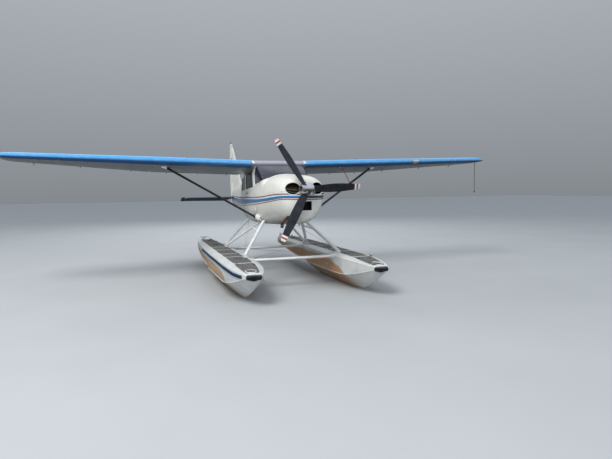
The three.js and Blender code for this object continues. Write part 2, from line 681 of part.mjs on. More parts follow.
// columns: radius as a fraction, width as seen along the shaft, pitch in degrees, thickness
const BLADE_TABLE = [
  [0.08, 84, 50, 56],
  [0.16, 106, 46, 44],
  [0.26, 126, 41, 34],
  [0.38, 146, 35, 26],
  [0.5, 154, 30, 20],
  [0.64, 148, 26, 16],
  [0.8, 126, 22, 12],
  [0.93, 106, 19, 9],
  [0.98, 96, 18, 8],
  [1.0, 72, 18, 5],
];

// the blade's section from its leading edge over the top and back: [share of chord, share of thickness]
const BLADE_PROFILE = [
  [-0.5, 0],
  [-0.38, 0.36],
  [-0.12, 0.5],
  [0.2, 0.4],
  [0.5, 0.06],
  [0.5, -0.06],
  [0.2, -0.24],
  [-0.12, -0.3],
  [-0.38, -0.24],
];

function bladeRing([fraction, width, pitchDegrees, thickness]) {
  const radius = fraction * BLADE_RADIUS;
  const pitch = rad(pitchDegrees);
  const chord = width / Math.cos(pitch);
  return BLADE_PROFILE.map(([a, b]) => {
    const along = a * chord;
    const thick = b * thickness;
    // the blade points up: x runs across the disc, y along the shaft
    return [
      along * Math.cos(pitch) + thick * Math.sin(pitch),
      PROP_Y + along * Math.sin(pitch) - thick * Math.cos(pitch),
      radius,
    ];
  });
}

function buildBlade(angle) {
  const upright = loft(BLADE_TABLE.map(bladeRing));
  const turned = geometryOf(upright).rotateY(rad(90 - angle));
  return solid(turned).subtract(spinnerClearance);
}

const spinner = buildSpinner();
const spinnerClearance = solid(
  geometryOf(spinner).translate(0, -PROP_Y, 0).scale(1.004, 1.004, 1.004).translate(0, PROP_Y, 0),
);
const propeller = hinged("propeller", airframe, [0, PROP_Y, 0], [0, 1, 0]);
addMoving(propeller, piece("spinner", spinner, colour.polished));
for (let i = 0; i < 3; i++) {
  addMoving(propeller, piece(`blade_${i + 1}`, buildBlade(FIRST_BLADE_ANGLE - 120 * i), colour.blade));
}

// Floats: hull sections on the float's own centre line
const STEP_Y = 1350;
const KEEL_HALF = 15;
// columns: y, half beam, half deck, deck z, gunwale z, chine z, keel z
const HULL_SECTIONS = [
  [BOW_Y, 138, 122, 580, 560, 492, 452],
  [-1690, 176, 142, 590, 568, 462, 340],
  [-1540, 222, 165, 604, 578, 420, 236],
  [-1330, 268, 186, 624, 590, 368, 136],
  [-1050, 304, 200, 646, 602, 312, 52],
  [-650, 326, 204, DECK_Z, 608, 262, 0],
  [STEP_Y, 328, 204, DECK_Z, 608, 240, 0],
  [STEP_Y + 3, 324, 204, DECK_Z, 608, 276, 74],
  [2500, 308, 198, 658, 606, 318, 168],
  [3600, 254, 176, 644, 596, 384, 272],
  [4450, 190, 148, 626, 580, 440, 352],
];

function hullRing([y, beam, deck, deckZ, gunwale, chine, keel], shift = 0) {
  const half = [[KEEL_HALF, keel], [beam * 0.94, chine], [beam, chine + 26], [beam, gunwale], [deck, deckZ]];
  const other = half.slice().reverse().map(([x, z]) => [-x, z]);
  return [...half, ...other].map(([x, z]) => [FLOAT_X + x, y + shift, z]);
}

const hullLeft = loft(HULL_SECTIONS.map((row) => hullRing(row)));
const STERN_Y = HULL_SECTIONS.at(-1)[0];

function buildBumper() {
  const [, beam, deck, deckZ, gunwale, chine, keel] = HULL_SECTIONS[0];
  const back = hullRing([BOW_Y - GAP, beam, deck, deckZ - 22, gunwale - 14, chine, keel + 10]);
  const frontHeights = [deckZ - 40, gunwale - 30, chine + 12, keel + 40];
  const front = hullRing([BOW_Y - BUMPER_LENGTH, beam * 0.86, deck * 0.86, ...frontHeights]);
  return loft([back, front]);
}

const FRONT_BAR_Y = -265;
const REAR_BAR_Y = 1873;
const BAR_Z = 598;
const towardsCentre = moved(hullLeft, -GAP, 0, GAP);
const hullClearance = towardsCentre.add(mirrored(towardsCentre));

function buildSpreader(y) {
  const bar = fairedTube([-900, y, BAR_Z], [900, y, BAR_Z], 122, 58, 16);
  const socket = box(820, 910, y - 78, y + 78, BAR_Z - 34, BAR_Z + 34);
  return bar.add(socket).add(mirrored(socket)).subtract(hullClearance);
}

floats.add(piece("bow_bumper_left", buildBumper(), colour.rubber));
floats.add(piece("bow_bumper_right", mirrored(buildBumper()), colour.rubber));
floats.add(piece("spreader_bar_front", buildSpreader(FRONT_BAR_Y), colour.floatWhite));
floats.add(piece("spreader_bar_rear", buildSpreader(REAR_BAR_Y), colour.floatWhite));

// Where an airframe point lies in the part's own frame
const tilt = rad(-RIG_ANGLE);
function fromAirframe([x, y, z]) {
  return [
    x,
    y * Math.cos(tilt) - z * Math.sin(tilt),
    THRUST_HEIGHT + y * Math.sin(tilt) + z * Math.cos(tilt),
  ];
}

const cabinOnFloats = solid(geometryOf(deckClearance).rotateX(tilt).translate(0, 0, THRUST_HEIGHT));

// Float struts: each ends in a foot on the deck and a lug let into the cabin's lower corner
const FOOT_X = 990;
function buildFloatStrut(footY, top, chord, thickness) {
  const head = fromAirframe(top);
  const footTop = [FOOT_X, footY, DECK_Z + 34];
  const tube = fairedTube(footTop, head, chord, thickness);
  const foot = box(FOOT_X - 34, FOOT_X + 34, footY - 58, footY + 58, DECK_Z + GAP, DECK_Z + 46);
  return tube.add(foot).subtract(cabinOnFloats);
}

const FLOAT_STRUTS = {
  float_strut_front: [-205, [455, 420, -600], 112, 60],
  float_strut_rear: [2000, [440, 1940, -560], 100, 54],
  float_strut_diagonal: [1862, [462, 640, -600], 92, 50],
};
for (const [name, [footY, top, chord, thickness]] of Object.entries(FLOAT_STRUTS)) {
  const body = buildFloatStrut(footY, top, chord, thickness);
  floats.add(piece(`${name}_left`, body, colour.floatWhite));
  floats.add(piece(`${name}_right`, mirrored(body), colour.floatWhite));
}

// Water rudders: a round post that steers in two lugs on each stern, and a blade that lifts on the post
const POST = { y: STERN_Y + 62, low: 425, high: 674, radius: 16, bearing: 18 };
const BLADE_PIVOT_Z = 470;
const RETRACTED = 24; // degrees above level when lifted
const LUGS = [[512, 530], [592, 610]];

function buildPost() {
  // a block about the float's centre line, from the post's own y and the blade's pivot height
  const block = (halfX, y0, y1, z0, z1) =>
    box(FLOAT_X - halfX, FLOAT_X + halfX, POST.y + y0, POST.y + y1, BLADE_PIVOT_Z + z0, BLADE_PIVOT_Z + z1);
  const post = cylinder([FLOAT_X, POST.y, POST.low], [FLOAT_X, POST.y, POST.high], POST.radius, 20);
  const arm = box(FLOAT_X - 95, FLOAT_X + 95, POST.y - 14, POST.y + 14, POST.high - 18, POST.high);
  const head = block(24, -24, 46, -26, 26);
  const fork = block(22, 20, 78, -24, 24);
  const slot = block(10, 28, 100, -40, 40);
  return post.add(arm).add(head).add(fork).subtract(slot);
}

function buildWaterBlade() {
  // outline from the pivot, blade pointing aft: [y, z]
  const outline = [[-10, -14], [70, -70], [330, -80], [372, -50], [372, 60], [330, 84], [70, 60], [-10, 14]];
  const plate = geometryOf(sidePrism(outline, FLOAT_X - 5, FLOAT_X + 5));
  plate.rotateX(rad(RETRACTED)).translate(0, POST.y + 52, BLADE_PIVOT_Z);
  return solid(plate);
}

function buildLugs() {
  const lug = ([low, high]) => box(FLOAT_X - 32, FLOAT_X + 32, STERN_Y - 20, POST.y + 34, low, high);
  const lugs = LUGS.map(lug);
  const bore = cylinder([FLOAT_X, POST.y, 400], [FLOAT_X, POST.y, 700], POST.bearing, 24);
  return lugs[0].add(lugs[1]).subtract(bore);
}

const hullWithLugs = hullLeft.add(buildLugs());
floats.add(piece("float_hull_left", hullWithLugs, colour.floatWhite));
floats.add(piece("float_hull_right", mirrored(hullWithLugs), colour.floatWhite));

for (const [side, sign] of [["left", 1], ["right", -1]]) {
  const pick = (body) => (sign > 0 ? body : mirrored(body));
  const steer = hinged(`water_steer_${side}`, floats, [sign * FLOAT_X, POST.y, 530], [0, 0, 1]);
  addMoving(steer, piece(`water_rudder_post_${side}`, pick(buildPost()), colour.polished));
  const pivot = [sign * FLOAT_X, POST.y + 52, BLADE_PIVOT_Z];
  const lift = hinged(`water_lift_${side}`, floats, pivot, [1, 0, 0]);
  addMoving(lift, piece(`water_rudder_blade_${side}`, pick(buildWaterBlade()), colour.floatWhite));
}

// A grab rope that hangs from the port wing tip
const ROPE = { x: 5262, radius: 6, length: 760 };
const ropeTop = fromAirframe(wingPoint(ROPE.x, 0.22, aerofoil(0.22).lower));
const ropeStart = [ropeTop[0], ropeTop[1], ropeTop[2] - 2];
const ropeEnd = [ropeStart[0], ropeStart[1], ropeStart[2] - ROPE.length];
floats.add(piece("grab_rope_left", cylinder(ropeEnd, ropeStart, ROPE.radius, 8), colour.rope));

airframe.rotation.x = tilt;
airframe.position.set(0, 0, THRUST_HEIGHT);

const floatplane = new THREE.Group();
const rudderEnd = fromAirframe([0, RUDDER_END_Y, 620])[1];
floatplane.add(airframe, floats);
floatplane.position.y = -(BOW_Y - BUMPER_LENGTH + rudderEnd) / 2;

export default floatplane;
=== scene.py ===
import math
import random

import bmesh
import bpy
from mathutils import Matrix, Vector
from mathutils.bvhtree import BVHTree


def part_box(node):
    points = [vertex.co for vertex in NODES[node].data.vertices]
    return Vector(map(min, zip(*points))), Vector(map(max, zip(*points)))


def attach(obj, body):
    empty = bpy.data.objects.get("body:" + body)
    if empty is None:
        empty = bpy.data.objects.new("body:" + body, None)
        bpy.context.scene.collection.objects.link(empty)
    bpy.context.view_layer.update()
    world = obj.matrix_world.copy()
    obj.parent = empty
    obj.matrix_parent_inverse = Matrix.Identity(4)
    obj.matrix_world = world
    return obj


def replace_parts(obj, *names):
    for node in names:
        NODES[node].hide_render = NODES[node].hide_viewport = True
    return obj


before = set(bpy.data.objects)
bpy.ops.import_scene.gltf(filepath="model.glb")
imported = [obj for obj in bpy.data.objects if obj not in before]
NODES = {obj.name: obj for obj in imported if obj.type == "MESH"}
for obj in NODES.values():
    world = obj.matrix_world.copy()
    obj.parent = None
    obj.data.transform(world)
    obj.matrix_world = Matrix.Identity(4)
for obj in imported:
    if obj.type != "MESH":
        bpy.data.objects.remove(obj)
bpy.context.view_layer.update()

random.seed(7)
scene = bpy.context.scene

# Frames. The row's axes are +X port, +Y aft, +Z up. The airframe's y runs aft from the firewall and its z
# up from the thrust line, nose up by the rig angle.
RIG = math.radians(2.35)
BUMPER_AHEAD = 1.855
FIREWALL_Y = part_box("bow_bumper_left")[0].y + BUMPER_AHEAD
THRUST_Z = 1.93
AIR = Matrix.Translation((0, FIREWALL_Y, THRUST_Z)) @ Matrix.Rotation(-RIG, 4, "X")
FLOAT = Matrix.Translation((0, FIREWALL_Y, 0))
TURN = AIR.to_3x3()
PORT, AFT, UP = TURN @ Vector((1, 0, 0)), TURN @ Vector((0, 1, 0)), TURN @ Vector((0, 0, 1))
DOWN = -UP
TRUE_UP, TRUE_DOWN = Vector((0, 0, 1)), Vector((0, 0, -1))
SIDES = (("left", 1), ("right", -1))


def air(x, y, z):
    return AIR @ Vector((x, y, z))


def deck(x, y, z):
    return FLOAT @ Vector((x, y, z))


# Camera, floor and light
LENS_MM = 29.61
CAMERA_PLACE = (-2.996, -9.874, 1.963)
CAMERA_AXES = (
    (0.94661826, -0.32216977, -0.01097773),
    (0.03561019, 0.07066443, 0.99686431),
    (-0.32038381, -0.94404088, 0.07836476),
)
FLOOR_HALF = 90
FLOOR_DROP = 0.002
WORLD_STRENGTH = 0.62
# share of the way from straight down to straight up, and the light from there
WORLD_LIGHT = [
    (0.30, (0.07, 0.085, 0.07)),
    (0.455, (0.16, 0.18, 0.17)),
    (0.47, (0.34, 0.37, 0.40)),
    (0.80, (0.86, 0.93, 1.0)),
]
# name, place, aim, size, power, colour
LAMPS = [
    ("key", (-10, -12, 15), (0, 0, 1.5), 9, 3000, (1.0, 0.98, 0.95)),
    ("fill", (13, -11, 8), (0, 0, 1.5), 10, 170, (0.93, 0.97, 1.0)),
    ("back", (3, 15, 12), (0, 0, 2), 9, 1100, (1, 1, 1)),
]


def make_camera():
    data = bpy.data.cameras.new("camera")
    data.sensor_width = 36
    data.lens = LENS_MM
    data.clip_end = 200
    cam = bpy.data.objects.new("camera", data)
    turn = Matrix(CAMERA_AXES).transposed().to_4x4()
    cam.matrix_world = Matrix.Translation(deck(*CAMERA_PLACE)) @ turn
    scene.collection.objects.link(cam)
    scene.camera = cam


def make_stage():
    mesh = bpy.data.meshes.new("floor")
    h = FLOOR_HALF
    mesh.from_pydata([(-h, -h, 0), (h, -h, 0), (h, h, 0), (-h, h, 0)], [], [(0, 1, 2, 3)])
    floor = bpy.data.objects.new("floor", mesh)
    floor.location.z = -FLOOR_DROP
    scene.collection.objects.link(floor)
    g = Graph("floor_paint")
    g.set(color=g.mix(g.noise(0.6, 4), (0.44, 0.46, 0.48), (0.50, 0.52, 0.54)), rough=0.85)
    floor.data.materials.append(g.material)
    floor.visible_glossy = False


def make_lamp(name, place, aim, size, power, colour):
    data = bpy.data.lights.new(name, "AREA")
    data.shape = "DISK"
    data.size = size
    data.energy = power
    data.color = colour
    lamp = bpy.data.objects.new(name, data)
    lamp.location = place
    lamp.rotation_euler = (Vector(aim) - Vector(place)).to_track_quat("-Z", "Y").to_euler()
    lamp.visible_glossy = False
    lamp.visible_transmission = False
    scene.collection.objects.link(lamp)


def make_light():
    scene.view_settings.view_transform = "Standard"
    world = bpy.data.worlds.new("studio")
    scene.world = world
    world.use_nodes = True
    tree = world.node_tree
    tree.nodes.clear()
    kinds = ("TexCoord", "SeparateXYZ", "Math", "ValToRGB", "Background", "OutputWorld")
    sky, split, shift, ramp, shade, out = [tree.nodes.new("ShaderNode" + kind) for kind in kinds]
    shade.inputs[1].default_value = WORLD_STRENGTH
    stops = ramp.color_ramp.elements
    for stop, (share, colour) in zip((stops[0], stops[1]), WORLD_LIGHT[2:]):
        stop.position = share
        stop.color = (*colour, 1)
    for share, colour in WORLD_LIGHT[:2]:
        stops.new(share).color = (*colour, 1)
    shift.operation = "MULTIPLY_ADD"
    shift.inputs[1].default_value = 0.5
    shift.inputs[2].default_value = 0.5
    tree.links.new(sky.outputs["Generated"], split.inputs[0])
    tree.links.new(split.outputs[2], shift.inputs[0])
    for a, b in ((shift, ramp), (ramp, shade), (shade, out)):
        tree.links.new(a.outputs[0], b.inputs[0])
    for lamp in LAMPS:
        make_lamp(*lamp)


class Graph:
    """A material's node tree, built with short calls. Values are sockets, numbers or colours."""

    def __init__(self, name):
        self.material = bpy.data.materials.new(name)
        self.material.use_nodes = True
        self.tree = self.material.node_tree
        self.tree.nodes.clear()
        self.out = self.tree.nodes.new("ShaderNodeOutputMaterial")
        self.shader = self.tree.nodes.new("ShaderNodeBsdfPrincipled")
        self.tree.links.new(self.shader.outputs[0], self.out.inputs[0])
        self.source = None

    def put(self, socket, value):
        if isinstance(value, bpy.types.NodeSocket):
            self.tree.links.new(value, socket)
        elif isinstance(value, (tuple, list)) and len(value) == 3 and socket.type == "RGBA":
            socket.default_value = (*value, 1)
        else:
            socket.default_value = value

    def node(self, kind, *values, out=0, **settings):
        made = self.tree.nodes.new("ShaderNode" + kind)
        for key, value in settings.items():
            setattr(made, key, value)
        for socket, value in zip(made.inputs, values):
            if value is not None:
                self.put(socket, value)
        return made.outputs[out]

    def coord(self, kind="Object"):
        if self.source is None:
            self.source = self.tree.nodes.new("ShaderNodeTexCoord")
        return self.source.outputs[kind]

    def place(self, matrix):
        """The point in another frame, as x, y and z sockets."""
        shift, turn = tuple(matrix.translation), tuple(matrix.to_euler())
        return self.split(self.node("Mapping", self.coord(), shift, turn, vector_type="TEXTURE"))

    def split(self, vector):
        return tuple(self.node("SeparateXYZ", vector).node.outputs)

    def math(self, op, a, b=None, c=None, clamp=False):
        return self.node("Math", a, b, c, operation=op, use_clamp=clamp)

    def fold(self, op, terms):
        total = terms[0]
        for term in terms[1:]:
            total = self.math(op, total, term)
        return total

    def add(self, *terms):
        return self.fold("ADD", terms)

    def mul(self, *terms):
        return self.fold("MULTIPLY", terms)

    def largest(self, *terms):
        return self.fold("MAXIMUM", terms)

    def sub(self, a, b):
        return self.math("SUBTRACT", a, b)

    def away(self, a, b=0.0):
        """How far a is from b."""
        return self.math("ABSOLUTE", self.sub(a, b) if b else a)

    def hypot(self, a, b):
        return self.math("SQRT", self.add(self.mul(a, a), self.mul(b, b)))

    def rise(self, x, low, high):
        """0 below low, 1 above high, smooth between."""
        return self.node("MapRange", x, low, high, 0.0, 1.0, interpolation_type="SMOOTHSTEP", clamp=True)

    def fall(self, x, low, high):
        """1 below low, 0 above high, smooth between."""
        return self.sub(1.0, self.rise(x, low, high))

    def shifted(self, a, by):
        return a + by if isinstance(a, (int, float)) else self.add(a, by)

    def between(self, x, low, high, soft=0.002):
        """1 from low to high."""
        up, down = [self.rise(x, self.shifted(edge, -soft), self.shifted(edge, soft)) for edge in (low, high)]
        return self.math("SUBTRACT", up, down, clamp=True)

    def near(self, x, centre, half, soft=0.0015):
        """1 where x is within half of centre."""
        return self.fall(self.math("ABSOLUTE", self.sub(x, centre)), half - soft, half + soft)

    def to_grid(self, x, pitch, phase=0.0):
        """Distance to the nearest multiple of pitch."""
        turned = self.math("FRACT", self.math("MULTIPLY_ADD", x, 1 / pitch, 0.5 + phase))
        return self.mul(self.away(turned, 0.5), pitch)

    def curve(self, x, points):
        """A smooth line through [x, value] points."""
        xs, values = zip(*points)
        low, high = min(values), max(values) + 1e-9
        made = self.tree.nodes.new("ShaderNodeFloatCurve")
        line = made.mapping.curves[0]
        for i, (px, value) in enumerate(points):
            at = ((px - xs[0]) / (xs[-1] - xs[0]), (value - low) / (high - low))
            if i in (0, len(points) - 1):
                line.points[0 if i == 0 else -1].location = at
            else:
                line.points.new(*at)
        made.mapping.update()
        self.put(made.inputs[1], self.scale(x, xs[0], xs[-1], 0.0, 1.0))
        return self.math("MULTIPLY_ADD", made.outputs[0], high - low, low)

    def scale(self, x, low, high, a, b):
        """x carried from low..high to a..b."""
        return self.node("MapRange", x, low, high, a, b, clamp=True)

    def blend(self, share, a, b):
        return self.scale(share, 0.0, 1.0, a, b)

    def noise(self, scale, detail, rough=0.5, stretch=None, vector=None):
        if vector is None:
            vector = self.coord()
        if stretch:
            vector = self.node("Mapping", vector, (0, 0, 0), (0, 0, 0), stretch)
        made = self.tree.nodes.new("ShaderNodeTexNoise")
        for name, value in (("Vector", vector), ("Scale", scale), ("Detail", detail), ("Roughness", rough)):
            self.put(made.inputs[name], value)
        return made.outputs[0]

    def mix(self, share, a, b):
        made = self.tree.nodes.new("ShaderNodeMix")
        made.data_type = "RGBA"
        made.clamp_factor = True
        for index, value in ((0, share), (6, a), (7, b)):
            self.put(made.inputs[index], value)
        return made.outputs[2]

    def bump(self, height, strength, distance):
        made = self.tree.nodes.new("ShaderNodeBump")
        for name, value in (("Strength", strength), ("Distance", distance), ("Height", height)):
            self.put(made.inputs[name], value)
        return made.outputs[0]

    def set(self, color, rough, metal=None, normal=None, **more):
        """Sets the shader's sockets; more names are written with _ for a space."""
        names = {"Base Color": color, "Roughness": rough, "Metallic": metal, "Normal": normal}
        names.update({key.replace("_", " "): value for key, value in more.items()})
        for name, value in names.items():
            if value is not None:
                self.put(self.shader.inputs[name], value)
        return self.material


WHITE = (0.83, 0.82, 0.77)
WHITE_OLD = (0.70, 0.69, 0.63)
ORANGE = (0.36, 0.075, 0.035)
BLUE = (0.022, 0.190, 0.46)
SKY = (0.055, 0.33, 0.74)
GRIME = (0.20, 0.17, 0.12)
RIVET = (0.30, 0.30, 0.28)
# painted shade: dark navy for tail undersides, also blue leading-edge paint deepened by painted shade
TAIL_BLUE_AND_SHADE = (0.020, 0.030, 0.065)
# painted shade: two dark grey-blues for skins that face down
UNDERSIDE_SHADE = (0.150, 0.180, 0.215), (0.215, 0.235, 0.270)

# where the stripe runs along the fuselage: y, then the heights of its edges
STRIPE = [
    (-1.03, -0.088, -0.116, -0.162, -0.183),
    (-0.90, -0.077, -0.108, -0.156, -0.175),
    (-0.45, -0.076, -0.118, -0.174, -0.193),
    (0.23, -0.092, -0.131, -0.194, -0.221),
    (1.16, -0.072, -0.112, -0.205, -0.238),
    (2.45, -0.036, -0.080, -0.196, -0.230),
    (3.50, 0.000, -0.045, -0.165, -0.198),
    (4.80, 0.052, 0.012, -0.070, -0.100),
    (6.15, 0.118, 0.088, 0.040, 0.016),
]
FRAME_SEAMS = (-0.80, 0.005, 0.70, 1.62, 2.45, 3.2, 4.2, 5.2)
SPLIT_LINE_Z = -0.035


def rivets(g, across, along, pitch=0.045, size=0.0032):
    """Dots of one row: across is the distance from the row's line, along runs down it."""
    return g.fall(g.hypot(across, g.to_grid(along, pitch)), size * 0.6, size)


def aged(g, colour, amount):
    """Uneven paint: broad weathering and fine specks."""
    colour = g.mix(g.mul(g.rise(g.noise(3.0, 5, 0.6), 0.42, 0.75), amount), colour, WHITE_OLD)
    return g.mix(g.mul(g.rise(g.noise(60.0, 3, 0.6), 0.68, 0.80), amount * 0.35), colour, GRIME)


def gloss(g, scale, low, high):
    """A roughness that varies from place to place."""
    return g.blend(g.noise(scale, 4), low, high)


# painted shade: a down-facing skin is painted dark grey-blue in streaks
def underside_shade(g):
    streak = g.noise(6.0, 4, 0.6, stretch=(1, 0.2, 1))
    return g.mix(g.rise(streak, 0.3, 0.7), *UNDERSIDE_SHADE)


def fuselage_paint():
    g = Graph("fuselage_paint")
    x, y, z = g.place(AIR)
    nx, _, nz = g.split(g.coord("Normal"))
    side = g.away(x)
    # rivets of the frames, the belts and the cowling's fasteners, and seams
    behind = g.rise(y, 0.02, 0.03)
    around = g.mul(g.math("ARCTAN2", z, x), 0.55)
    rows = [rivets(g, g.to_grid(y, 0.42), around)] + [rivets(g, g.away(z, at), y, 0.04) for at in (0.108, -0.47)]
    ahead = g.sub(1.0, behind)
    fasteners = g.mul(rivets(g, g.away(z, -0.015), y, 0.12, 0.008), ahead)
    dots = g.largest(*[g.mul(row, behind) for row in rows], fasteners)
    split_line = g.mul(g.near(z, SPLIT_LINE_Z, 0.0016), g.fall(y, -0.80, -0.79))
    seams = g.largest(*[g.near(y, at, 0.0016) for at in FRAME_SEAMS], split_line)
    colour = aged(g, WHITE, 0.45)
    streak = g.noise(5.0, 4, 0.6, stretch=(1, 0.25, 1))
    # painted shade with a green reflection: the lower fuselage is darker and greener, in streaks
    colour = g.mix(g.mul(g.rise(z, -0.30, -0.64), g.rise(streak, 0.35, 0.7), 0.75), colour, (0.30, 0.31, 0.25))
    # the stripe is darker on the nose's port side
    edges = [g.curve(y, [(row[0], row[k]) for row in STRIPE]) for k in range(1, 5)]
    fade = g.rise(g.noise(22.0, 4), 0.3, 0.8)
    dull = g.mul(g.rise(x, 0.02, 0.06), g.rise(y, -0.80, -0.90))
    blue = g.mix(dull, g.mix(g.mul(fade, 0.35), BLUE, (0.05, 0.22, 0.40)), (0.035, 0.060, 0.095))
    orange = g.mix(dull, g.mix(g.mul(fade, 0.4), ORANGE, (0.30, 0.12, 0.08)), (0.045, 0.050, 0.065))
    colour = g.mix(g.between(z, edges[2], edges[1], 0.0015), colour, blue)
    brown = g.mix(0.5, orange, (0.09, 0.03, 0.03))
    for edge, half, tone in ((edges[0], 0.0115, brown), (edges[3], 0.0095, orange)):
        colour = g.mix(g.near(z, edge, half, 0.0012), colour, tone)
    # painted shade with a warm reflection under the wing: the strip above the side windows is dark and brown
    strip = g.mul(g.rise(z, 0.448, 0.456), g.between(y, 0.80, 2.36, 0.01), g.rise(side, 0.50, 0.51), 0.85)
    colour = g.mix(strip, colour, g.mix(streak, (0.10, 0.060, 0.045), (0.045, 0.050, 0.050)))
    # a brown smear where each door post meets the wing
    smear = g.mul(g.rise(z, 0.49, 0.51), g.between(y, 0.668, 0.76, 0.004), g.rise(side, 0.54, 0.55), 0.8)
    colour = g.mix(smear, colour, (0.20, 0.11, 0.07))
    colour = g.mix(g.mul(seams, 0.75), colour, (0.10, 0.10, 0.09))
    colour = g.mix(g.mul(dots, 0.30), colour, RIVET)
    # painted shade: the corner above the windscreen is grey like the roof's front
    corner = g.mul(g.rise(z, 0.49, 0.50), g.fall(y, 0.664, 0.668), g.fall(side, 0.549, 0.553))
    colour = g.mix(corner, colour, (0.24, 0.23, 0.29))
    # the inside of the cabin and cowling has a lining, painted dark as shade
    facing = g.add(g.mul(nx, x), g.mul(nz, z))
    inside = g.mul(g.fall(facing, -0.06, -0.02), g.rise(y, -1.0, -0.98))
    lining_and_shade = g.mix(g.rise(g.noise(90.0, 2), 0.4, 0.6), (0.075, 0.072, 0.068), (0.11, 0.105, 0.095))
    colour = g.mix(inside, colour, lining_and_shade)
    # soot behind the exhaust
    soot = g.mul(g.between(x, -0.46, -0.16, 0.08), g.rise(z, -0.52, -0.64), g.rise(y, -0.72, -0.55),
                 g.fall(y, 0.6, 2.2), g.rise(streak, 0.25, 0.6), 0.7)
    colour = g.mix(soot, colour, (0.07, 0.06, 0.05))
    height = g.add(g.sub(g.mul(dots, 0.6), seams), g.mul(g.noise(7.0, 2), 0.8))
    rough = g.largest(gloss(g, 12.0, 0.24, 0.42), g.mul(inside, 0.85))
    return g.set(color=colour, rough=rough, normal=g.bump(height, 0.35, 0.003),
                 Coat_Weight=0.35, Coat_Roughness=0.12)


# the wing's plan and set: chords, where it narrows, leading edge, height of the root
WING = {"root": 1.626, "tip": 1.120, "kink": 2.54, "tip_start": 5.16, "lead": 0.630, "sweep": 0.095}
WING_Z, DIHEDRAL, INCIDENCE, WASHOUT = 0.616, math.radians(1.7), 4.3, 2.9


def wing_paint(name, banded):
    g = Graph(name)
    x, y, _ = g.place(AIR)
    nz = g.split(g.coord("Normal"))[2]
    span = g.away(x)
    out = g.scale(span, WING["kink"], WING["tip_start"], 0.0, 1.0)
    lead = g.math("MULTIPLY_ADD", out, WING["sweep"], WING["lead"])
    chord = g.math("MULTIPLY_ADD", out, WING["tip"] - WING["root"], WING["root"])
    share = g.math("DIVIDE", g.sub(y, lead), chord)
    aft = g.mul(share, chord)
    lines = [g.math("ABSOLUTE", g.mul(g.sub(share, at), chord)) for at in (0.10, 0.285, 0.66)]
    dots = g.largest(rivets(g, g.to_grid(span, 0.405), aft, 0.05), *[rivets(g, line, span, 0.05) for line in lines])
    seams = g.largest(*[g.near(span, at, 0.0018) for at in (1.365, 2.985, 4.20, 5.10)],
                      *[g.near(aft, at, 0.0015) for at in (0.42, 1.02)])
    # painted shade: the wing's underside is painted dark grey-blue
    colour = g.mix(g.mul(g.rise(nz, 0.25, -0.05), 0.9), aged(g, WHITE, 0.5), underside_shade(g))
    colour = g.mix(g.mul(seams, 0.7), colour, (0.12, 0.12, 0.11))
    colour = g.mix(g.mul(dots, 0.25), colour, RIVET)
    if banded:
        # the sky-blue leading edge, with painted shade making it deeper blue below than above
        edge = g.scale(nz, -0.3, 0.3, 0.135, 0.088)
        band = g.mul(g.fall(g.sub(share, edge), -0.0012, 0.0012), g.rise(span, 0.60, 0.603))
        sky = g.mix(g.rise(g.noise(9.0, 4), 0.3, 0.75), SKY, (0.090, 0.40, 0.78))
        sky = g.mix(g.rise(nz, -0.55, -1.0), sky, (0.008, 0.080, 0.30))
        bugs = g.rise(g.noise(110.0, 2, 0.7), 0.72, 0.80)
        colour = g.mix(band, colour, g.mix(g.mul(bugs, 0.4), sky, (0.05, 0.05, 0.05)))
    else:
        # painted shade with a sky reflection: the roof's front is painted grey-lavender
        front = g.fall(g.sub(share, g.scale(nz, -0.2, 0.6, 0.10, 0.22)), 0.0, 0.004)
        colour = g.mix(g.mul(front, 0.92), colour, (0.34, 0.35, 0.42))
        # the lining under the roof, painted dark as shade
        lining_and_shade = g.mul(g.rise(nz, 0.0, -0.1), g.fall(span, 0.535, 0.54), g.rise(share, 0.01, 0.014))
        colour = g.mix(lining_and_shade, colour, (0.085, 0.080, 0.082))
    height = g.add(g.sub(g.mul(dots, 0.6), seams), g.noise(5.0, 2))
    return g.set(color=colour, rough=gloss(g, 10.0, 0.26, 0.44),
                 normal=g.bump(height, 0.35, 0.003), Coat_Weight=0.3, Coat_Roughness=0.15)


RUDDER_BACK = [(-0.13, 6.40), (0.06, 6.56), (0.30, 6.61), (0.62, 6.62), (1.20, 6.595), (1.64, 6.56), (1.80, 6.40)]
STABILISER_LEAD = [(0.03, 5.25), (1.25, 5.40), (1.45, 5.445), (1.52, 5.53)]


def surface_paint(name, pitch):
    """Control surfaces: skins with beads pressed across them."""
    g = Graph(name)
    x, y, z = g.place(AIR)
    along = z if name == "rudder_paint" else x
    nz = g.split(g.coord("Normal"))[2]
    bead = g.fall(g.to_grid(along, pitch), 0.004, 0.016)
    colour = aged(g, WHITE, 0.5)
    if name == "tail_surface_paint":
        # painted shade: the elevator's underside is dark navy; its horn is blue paint darkened as painted shade
        horn = g.mul(g.rise(g.away(x), 1.53, 1.54), g.fall(y, 6.0, 6.02))
        colour = g.mix(g.largest(g.rise(nz, 0.2, -0.1), horn), colour, TAIL_BLUE_AND_SHADE)
    elif name == "rudder_paint":
        colour = g.mix(g.rise(g.sub(y, g.curve(z, RUDDER_BACK)), -0.030, -0.026), colour, (0.03, 0.06, 0.16))
    else:
        # painted shade: the underside of a flap or aileron is painted dark grey-blue
        colour = g.mix(g.mul(g.rise(nz, 0.25, -0.05), 0.85), colour, underside_shade(g))
    colour = g.mix(g.mul(bead, 0.18), colour, (0.35, 0.34, 0.30))
    dots = rivets(g, g.to_grid(along, pitch * 4), y, 0.05)
    return g.set(color=g.mix(g.mul(dots, 0.3), colour, RIVET), rough=gloss(g, 10.0, 0.28, 0.46),
                 normal=g.bump(g.add(g.mul(bead, 2.2), g.mul(dots, 0.5)), 0.6, 0.004))


